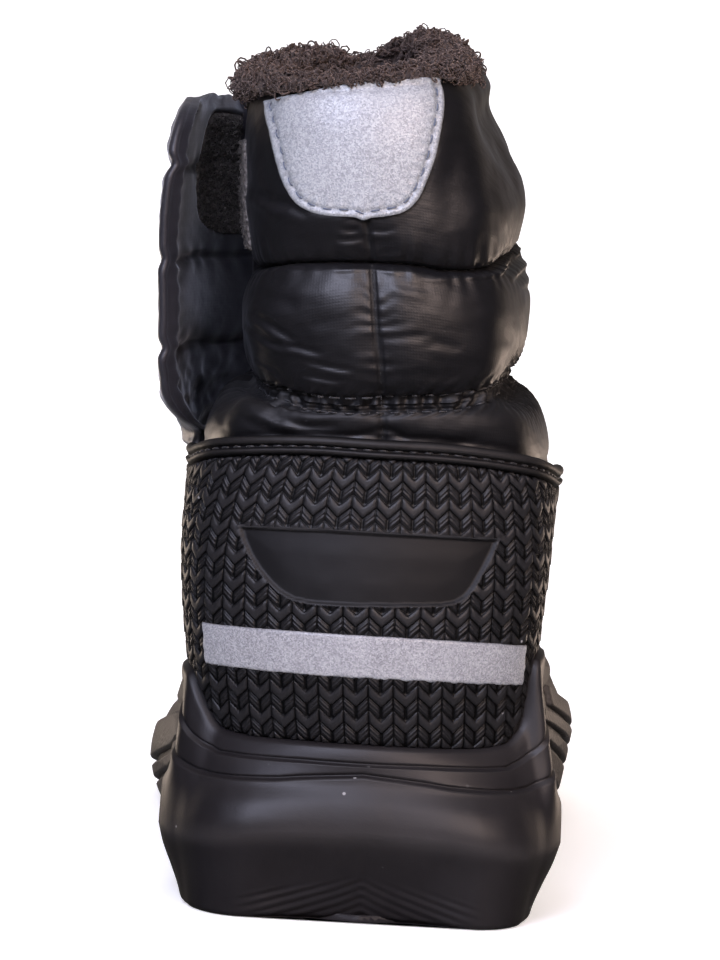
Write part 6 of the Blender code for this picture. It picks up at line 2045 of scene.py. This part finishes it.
def build_fur():
    count, rows_n = (240, 54) if FINE else (150, 36)
    angle = spaced(lambda a: base(a, np.full(a.shape, 11.0)), -180, 180, count + 1)[:-1]
    su = np.concatenate([np.linspace(0, 2, 8)[:-1], np.linspace(2, 10, rows_n - 16)[:-1], np.linspace(10, 12, 9)])
    a, s = np.meshgrid(angle, su)
    grid = pile_ring(a, s)
    n = normals_of(grid, closed_cols=True)
    middle = grid.mean((0, 1))
    outside = ((grid[len(su) // 2] - middle) * n[len(su) // 2]).sum() < 0
    visible = step(1.6, 2.4, s)
    lumps = 0.75 * noise3(grid, 3.4, 1) + 0.45 * noise3(grid, 1.7, 2) + 0.25 * noise3(grid, 0.9, 3)
    sec_n = n if not outside else -n
    grid = grid + sec_n * (lumps * visible)[..., None]
    soup = Soup()
    n_rows = len(su)
    soup.add(grid, grid_faces(n_rows, count, closed_cols=True, closed_rows=True), uv=sheet_uv(grid))
    made = piece("fur_base", soup, [PILE], ["fur_collar"])
    fix_normals(made)
    # curls: worn little loops of yarn standing on it
    rng = np.random.default_rng(29)
    total = 3900 if FINE else 1400
    for part in range(3):
        k = total // 3
        ang = np.interp(rng.uniform(0, 1, k), np.linspace(0, 1, 2001), spaced(lambda a: base(a, np.full(a.shape, 11.0)), -180, 180, 2001))
        lo, hi = ((3.6, 7.4), (5.6, 9.2), (8.4, 11.2))[part]
        sec = rng.uniform(lo, hi, k)
        root = pile_ring(ang, sec)
        along = pile_ring(ang + 0.6, sec) - pile_ring(ang - 0.6, sec)
        across = pile_ring(ang, sec + 0.06) - pile_ring(ang, sec - 0.06)
        nrm = np.cross(along, across)
        nrm /= np.linalg.norm(nrm, axis=1, keepdims=True)
        rim, flat, rise = pile_frame(ang)
        flip = ((root - (rim - flat * 3.6 - rise)) * nrm).sum(1) < 0
        nrm[flip] *= -1
        lines = curls(root, nrm, rng, k)
        soup = Soup()
        fat = rng.uniform(0.13, 0.24, k)
        pts, quads, tris = strands(lines, fat, 3, 0.45, rng.normal(size=(k, 3)))
        tip = np.repeat(np.clip(rng.normal(0.35, 0.35, k), 0, 1), lines.shape[1] * 3) * np.tile(np.repeat(np.linspace(0.2, 1, lines.shape[1]), 3), k)
        soup.add(pts, quads, tris, mark=tip)
        piece(f"fur_curls_{part + 1}", soup, [CURL], turn=False)
    return made


def curls(root, nrm, rng, k):
    """Centre lines of curls: each climbs out of the pile, turns once or so and comes back down."""
    points = 11
    t = np.linspace(0, 1, points)[None, :, None]
    side = np.cross(nrm, rng.normal(size=(k, 3)))
    side /= np.linalg.norm(side, axis=1, keepdims=True)
    third = np.cross(nrm, side)
    lean = rng.uniform(0.1, 0.95, (k, 1))
    axis = nrm * lean + side * np.sqrt(1 - lean**2)
    one = np.cross(axis, third)
    one /= np.linalg.norm(one, axis=1, keepdims=True)
    two = np.cross(axis, one)
    radius = rng.uniform(0.40, 1.05, (k, 1, 1))
    turns = rng.uniform(0.7, 1.9, (k, 1, 1)) * rng.choice([-1, 1], (k, 1, 1))
    start = rng.uniform(0, 2 * np.pi, (k, 1, 1))
    wild = (rng.uniform(0, 1, (k, 1, 1)) < 0.07)
    radius = np.where(wild, radius * 1.35, radius)
    phase = start + turns * 2 * np.pi * t
    climb = np.where(wild, 1.7, rng.uniform(0.55, 1.15, (k, 1, 1))) * np.sin(np.pi * t) ** 0.8 - 0.30
    travel = (t - 0.5) * rng.uniform(0.4, 2.2, (k, 1, 1))
    wave = radius * (1 - 0.25 * t)
    return (root[:, None] + nrm[:, None] * climb + axis[:, None] * travel * 0.7
            + one[:, None] * wave * np.cos(phase) + two[:, None] * wave * np.sin(phase))


# ================================================================ toe cap
def build_toe_cap_skin():
    count, rows_n = (181, 46) if FINE else (91, 24)
    reach = TOE_CAP_ANGLE
    turn = np.linspace(180 - reach, 180 + reach, count)
    fine_a = np.where(turn > 180, turn - 360, turn)
    angle = fine_a
    low = ring_at(angle, sole_column(3, angle) + GAP + 0.1, 0.0, 3.0)
    edge = TOE_CAP_RING - (TOE_CAP_RING - low - 0.25) * step(0.25, 1.0, np.abs(turn - 180) / reach)
    share = np.linspace(0, 1, rows_n)[:, None]
    u = low + (edge - low) * share
    a = np.broadcast_to(angle, u.shape)
    rows = np.arange(rows_n)[:, None]
    rim = np.minimum(rows, rows_n - 1 - rows)
    cols = np.arange(count)[None, :]
    rim_c = np.minimum(cols, count - 1 - cols)
    round_off = 0.7 * np.clip(1 - rim / 3.0, 0, 1) ** 2 + 0.7 * np.clip(1 - rim_c / 3.0, 0, 1) ** 2
    p = skin(a, u, GAP + TOE_CAP_THICK)
    # a raised border and a plain face with a fine pebble
    border = bell((rows_n - 1 - rows) / 5.0 - 0.9, 0.5) * 0.35
    relief = border + 0.06 * noise3(p, 7, 1) - round_off
    outer = skin(a, u, GAP + TOE_CAP_THICK) + outward(a, u) * relief[..., None]
    inner = skin(a, u, GAP)
    soup = Soup()
    # painted highlight: the rubber's mark pales the raised border
    first = soup.add(outer, grid_faces(rows_n, count), uv=sheet_uv(outer), mark=0.5 * np.broadcast_to(border, p.shape[:2]))
    close_back(soup, outer, inner, first, 3)
    made = piece("toe_cap_skin", soup, [TOE_RUBBER], ["toe_cap"])
    fix_normals(made)
    # stitches along its border
    k = slice(6, -6)
    uu = (low + (edge - low) * (1 - 9.0 / rows_n))[k]
    aa = angle[k]
    path = skin(aa, uu, GAP + TOE_CAP_THICK + 0.02)
    lines = stitch_lines(path, outward(aa, uu), 2.6, 0.6, 0.25, 0.18)
    pts, quads, tris = strands(lines, 0.18, 6, 0.7)
    soup = Soup()
    soup.add(pts, quads, tris)
    piece("toe_cap_stitches", soup, [BLACK_THREAD], turn=False)


# ================================================================ camera, light and floor
def build_camera():
    down, roll = math.radians(4.7), math.radians(3.3)
    r0, u0 = np.array([1, 0, 0]), np.array([0, math.sin(down), math.cos(down)])
    f = np.array([0, math.cos(down), -math.sin(down)])
    r = math.cos(roll) * r0 + math.sin(roll) * u0
    u = math.cos(roll) * u0 - math.sin(roll) * r0
    data = bpy.data.cameras.new("camera")
    data.lens, data.sensor_width, data.clip_end = 177.5, 36.0, 50.0
    camera = bpy.data.objects.new("camera", data)
    bpy.context.scene.collection.objects.link(camera)
    camera.matrix_world = Matrix(((r[0], u[0], -f[0], -0.0035), (r[1], u[1], -f[1], -1.006), (r[2], u[2], -f[2], 0.160), (0, 0, 0, 1)))
    bpy.context.scene.camera = camera


def area(name, place, aim, size, power, colour):
    data = bpy.data.lights.new(name, "AREA")
    data.shape, data.size, data.size_y = "RECTANGLE", size[0], size[1]
    data.energy, data.color = power, colour
    lamp = bpy.data.objects.new(name, data)
    bpy.context.scene.collection.objects.link(lamp)
    d = np.array(aim, float) - np.array(place, float)
    z = -d / np.linalg.norm(d)
    x = np.cross([0, 0, 1], z)
    x /= np.linalg.norm(x)
    y = np.cross(z, x)
    lamp.matrix_world = Matrix(((x[0], y[0], z[0], place[0]), (x[1], y[1], z[1], place[1]), (x[2], y[2], z[2], place[2]), (0, 0, 0, 1)))
    return lamp


def build_studio():
    floor = bpy.data.meshes.new("studio_floor")
    # a pale floor that sweeps up into a backdrop far behind
    xs = np.linspace(-2.6, 2.6, 9)
    profile = [(-1.6, 0.0), (-0.8, 0.0), (0.0, 0.0), (0.6, 0.0), (1.1, 0.0)]
    profile += [(1.1 + 0.9 * math.sin(t), 0.9 - 0.9 * math.cos(t)) for t in np.linspace(0.12, math.pi / 2, 12)]
    profile += [(2.0, 1.6), (2.0, 2.4)]
    pts = np.array([[x, y, z - 0.0002] for y, z in profile for x in xs])
    quads = grid_faces(len(profile), len(xs))
    near = pts[quads][:, :, 1].max(1) < 1.11
    floor.from_pydata(pts.tolist(), [], quads[near].tolist())
    sweep = bpy.data.meshes.new("studio_backdrop")
    sweep.from_pydata(pts.tolist(), [], quads[~near].tolist())
    objects = []
    for mesh in (floor, sweep):
        mesh.shade_smooth()
        obj = bpy.data.objects.new(mesh.name, mesh)
        bpy.context.scene.collection.objects.link(obj)
        objects.append(obj)
    for obj in objects:
        obj.visible_glossy = False  # the boot mirrors a dark room, not the paper
    n = Nodes("studio_floor")
    cloud = n.noise(n.place, 3.0, 2, 0.5)
    n.set(base=n.mix(cloud, (0.86, 0.86, 0.86), (0.89, 0.89, 0.89)), rough=0.75, specular=0.2)
    # painted light: floor and backdrop glow and light the boot, brighter further back and falling off to both sides
    n.shader.inputs["Emission Color"].default_value = (1.0, 0.99, 0.985, 1)
    split = n.node("SeparateXYZ")
    n.put(split, "Vector", n.place)
    lit = n.ramp(n.maths("MULTIPLY_ADD", split.outputs["Y"], 0.5, 0.2), [(0.0, 0.42), (0.22, 0.46), (0.42, 0.80), (0.7, 0.95)])
    dim = n.ramp(n.maths("ABSOLUTE", split.outputs["X"], 0.0), [(0.0, 1.0), (0.31, 1.0), (0.70, 0.10)])  # falls off to both sides
    n.put(n.shader, "Emission Strength", n.maths("MULTIPLY", lit, dim))
    for obj in objects:
        obj.data.materials.append(n.material)

    world = bpy.data.worlds.new("studio")
    bpy.context.scene.world = world
    world.use_nodes = True
    nodes, links = world.node_tree.nodes, world.node_tree.links
    back = nodes["Background"]
    spot = nodes.new("ShaderNodeTexCoord")
    split = nodes.new("ShaderNodeSeparateXYZ")
    links.new(spot.outputs["Generated"], split.inputs["Vector"])
    ramp = nodes.new("ShaderNodeValToRGB")
    bar = ramp.color_ramp
    bar.elements[0].position, bar.elements[0].color = 0.0, (0.022, 0.022, 0.026, 1)
    bar.elements[1].position, bar.elements[1].color = 1.0, (0.62, 0.55, 0.51, 1)
    for where, shade in ((0.60, 0.028), (0.85, 0.045), (0.93, 0.09), (0.975, 0.20)):
        step_up = bar.elements.new(where)
        step_up.color = (shade * 1.04, shade, shade * 0.97, 1)
    half = nodes.new("ShaderNodeMath")
    half.operation = "MULTIPLY_ADD"
    half.inputs[1].default_value, half.inputs[2].default_value = 0.5, 0.5
    links.new(split.outputs["Y"], half.inputs[0])
    links.new(half.outputs["Value"], ramp.inputs["Fac"])
    path = nodes.new("ShaderNodeLightPath")
    seen = nodes.new("ShaderNodeMix")
    seen.data_type = "RGBA"
    links.new(path.outputs["Is Camera Ray"], seen.inputs[0])
    links.new(ramp.outputs["Color"], seen.inputs[6])
    seen.inputs[7].default_value = (1, 1, 1, 1)
    links.new(seen.outputs[2], back.inputs["Color"])
    back.inputs["Strength"].default_value = 1.0

    area("cool_key", (-0.34, -0.98, 0.88), (-0.01, -0.05, 0.09), (0.60, 0.50), 16.5, (0.75, 0.77, 1.0))
    area("warm_fill", (0.50, -0.95, 0.62), (0.0, -0.03, 0.09), (0.50, 0.45), 8.5, (1.0, 0.77, 0.68))
    area("soft_top", (0.0, -0.20, 1.30), (0.0, -0.02, 0.08), (0.7, 0.6), 3.2, (1.0, 0.92, 0.95))
    area("front_soft", (-0.15, -1.35, 0.55), (0.0, -0.05, 0.08), (0.6, 0.4), 1.6, (0.96, 0.92, 1.0))
    area("rim_left", (-0.62, 0.75, 0.28), (-0.02, 0.0, 0.10), (0.30, 0.8), 0.32, (1.0, 0.76, 0.60))
    area("rim_right", (0.62, 0.75, 0.28), (0.02, 0.0, 0.10), (0.30, 0.8), 0.24, (1.0, 0.74, 0.58))
    area("low_left", (-0.22, 0.16, 0.045), (-0.045, 0.02, 0.03), (0.08, 0.10), 0.19, (1.0, 0.82, 0.68))
    area("low_right", (0.22, 0.16, 0.045), (0.045, 0.02, 0.03), (0.08, 0.10), 0.19, (1.0, 0.78, 0.64))
    bpy.context.scene.view_settings.view_transform = "Standard"


def plain_counter_finish():
    n = Nodes("counter_rubber_plain")
    fine = n.noise(n.place, 2400, 3, 0.6)
    soft = n.noise(n.place, 60, 4, 0.6)
    base_colour = n.mix(n.ramp(soft, [(0.3, 0.0), (0.72, 1.0)]), (0.0040, 0.0039, 0.0046), (0.0064, 0.0061, 0.0068))
    # painted highlight: the mark makes a pale line round the recess, strongest along its top
    edge = n.attribute("mark")
    base_colour = n.mix(n.maths("MULTIPLY", edge, 0.45), base_colour, (0.10, 0.10, 0.105))
    brushed = n.noise(n.scaled(n.place, (0.35, 1.0, 2.2)), 420, 3, 0.55)
    normal = n.bump(fine, 0.10, 0.0001)
    normal = n.bump(brushed, 0.05, 0.0003, normal)
    return n.set(base=base_colour, rough=n.maths("MULTIPLY_ADD", soft, 0.16, 0.46), normal=normal, ior=1.34)


def arrow_rubber_finish():
    """Counter rubber with the fine cut lines of the moulded arrows, with painted highlight on the arrows' raised tops
    and painted shade in their lines.
    """
    n = Nodes("counter_rubber")
    blotch = n.noise(n.place, 46, 4, 0.6)
    fine = n.noise(n.place, 2600, 3, 0.6)
    base_colour = n.mix(n.ramp(blotch, [(0.28, 0.0), (0.74, 1.0)]), (0.0040, 0.0040, 0.0047), (0.0072, 0.0070, 0.0079))
    # painted highlight: the mark pales the arrows' raised tops
    high = n.attribute("mark")
    base_colour = n.mix(n.maths("MULTIPLY", high, 0.30), base_colour, (0.062, 0.060, 0.062))
    speck = n.cells(n.place, 230, "F1", "Distance")
    chance = n.noise(n.place, 61, 2, 0.5)
    speck = n.maths("MULTIPLY", n.ramp(speck, [(0.0, 1.0), (0.05, 1.0), (0.08, 0.0)]), n.ramp(chance, [(0.58, 0.0), (0.63, 1.0)]))
    base_colour = n.mix(n.maths("MULTIPLY", speck, 0.4), base_colour, (0.5, 0.5, 0.5))
    split = n.node("SeparateXYZ")
    n.put(split, "Vector", n.sheet)
    half = CHEVRON_WIDE / 2
    q = n.maths("PINGPONG", split.outputs["X"], half)
    v = n.maths("MULTIPLY", n.maths("SUBTRACT", split.outputs["Y"], n.maths("MULTIPLY", q, CHEVRON_SLOPE)), 1 / CHEVRON_ROW)
    lined = n.maths("GREATER_THAN", n.maths("FRACT", n.maths("MULTIPLY", v, 0.5)), 0.5)
    f = n.maths("FRACT", v)
    lines = n.maths("MULTIPLY_ADD", n.maths("COSINE", n.maths("MULTIPLY", f, 6 * math.pi)), 0.5, 0.5)
    lines = n.maths("MULTIPLY_ADD", n.maths("SUBTRACT", lines, 1.0), lined, 1.0)
    rim = n.maths("MINIMUM", f, n.maths("SUBTRACT", 1.0, f))
    row_edge = n.ramp(rim, [(0.03, 0.0), (0.13, 1.0)])
    joint = n.ramp(n.maths("SUBTRACT", half, q), [(0.05, 0.0), (0.24, 1.0)])
    slot = n.maths("SUBTRACT", 1.0, n.maths("MULTIPLY", n.ramp(q, [(0.14, 1.0), (0.42, 0.0)]), lined))
    open_face = n.maths("MULTIPLY", n.maths("MULTIPLY", row_edge, joint), slot)
    relief = n.maths("MULTIPLY", open_face, n.maths("MULTIPLY_ADD", lines, 0.45, 0.55))
    # painted shade: near black in the cut lines, row gaps and slots, where the relief is low
    base_colour = n.mix(n.ramp(relief, [(0.15, 1.0), (0.7, 0.0)]), base_colour, (0.0010, 0.0010, 0.0012))
    normal = n.bump(relief, 0.75, 0.00030)
    normal = n.bump(fine, 0.16, 0.00010, normal)
    normal = n.bump(n.noise(n.place, 420, 3, 0.6), 0.12, 0.0003, normal)
    r = n.maths("MULTIPLY_ADD", blotch, 0.16, 0.38)
    return n.set(base=base_colour, rough=r, normal=normal, ior=1.36)


COUNTER_PLAIN = plain_counter_finish()
COUNTER_RUBBER = arrow_rubber_finish()

build_camera()
build_studio()
build_outsole_skin()
build_side_lugs()
build_insole_pad()
build_upper_skin()
build_counter_skin()
build_strip()
build_binding_skin()
build_tab()
build_ruche_stitches()
build_seam_stitches()
build_flap_skin()
build_hook_patch()
build_loop_patch()
build_fur()
build_toe_cap_skin()
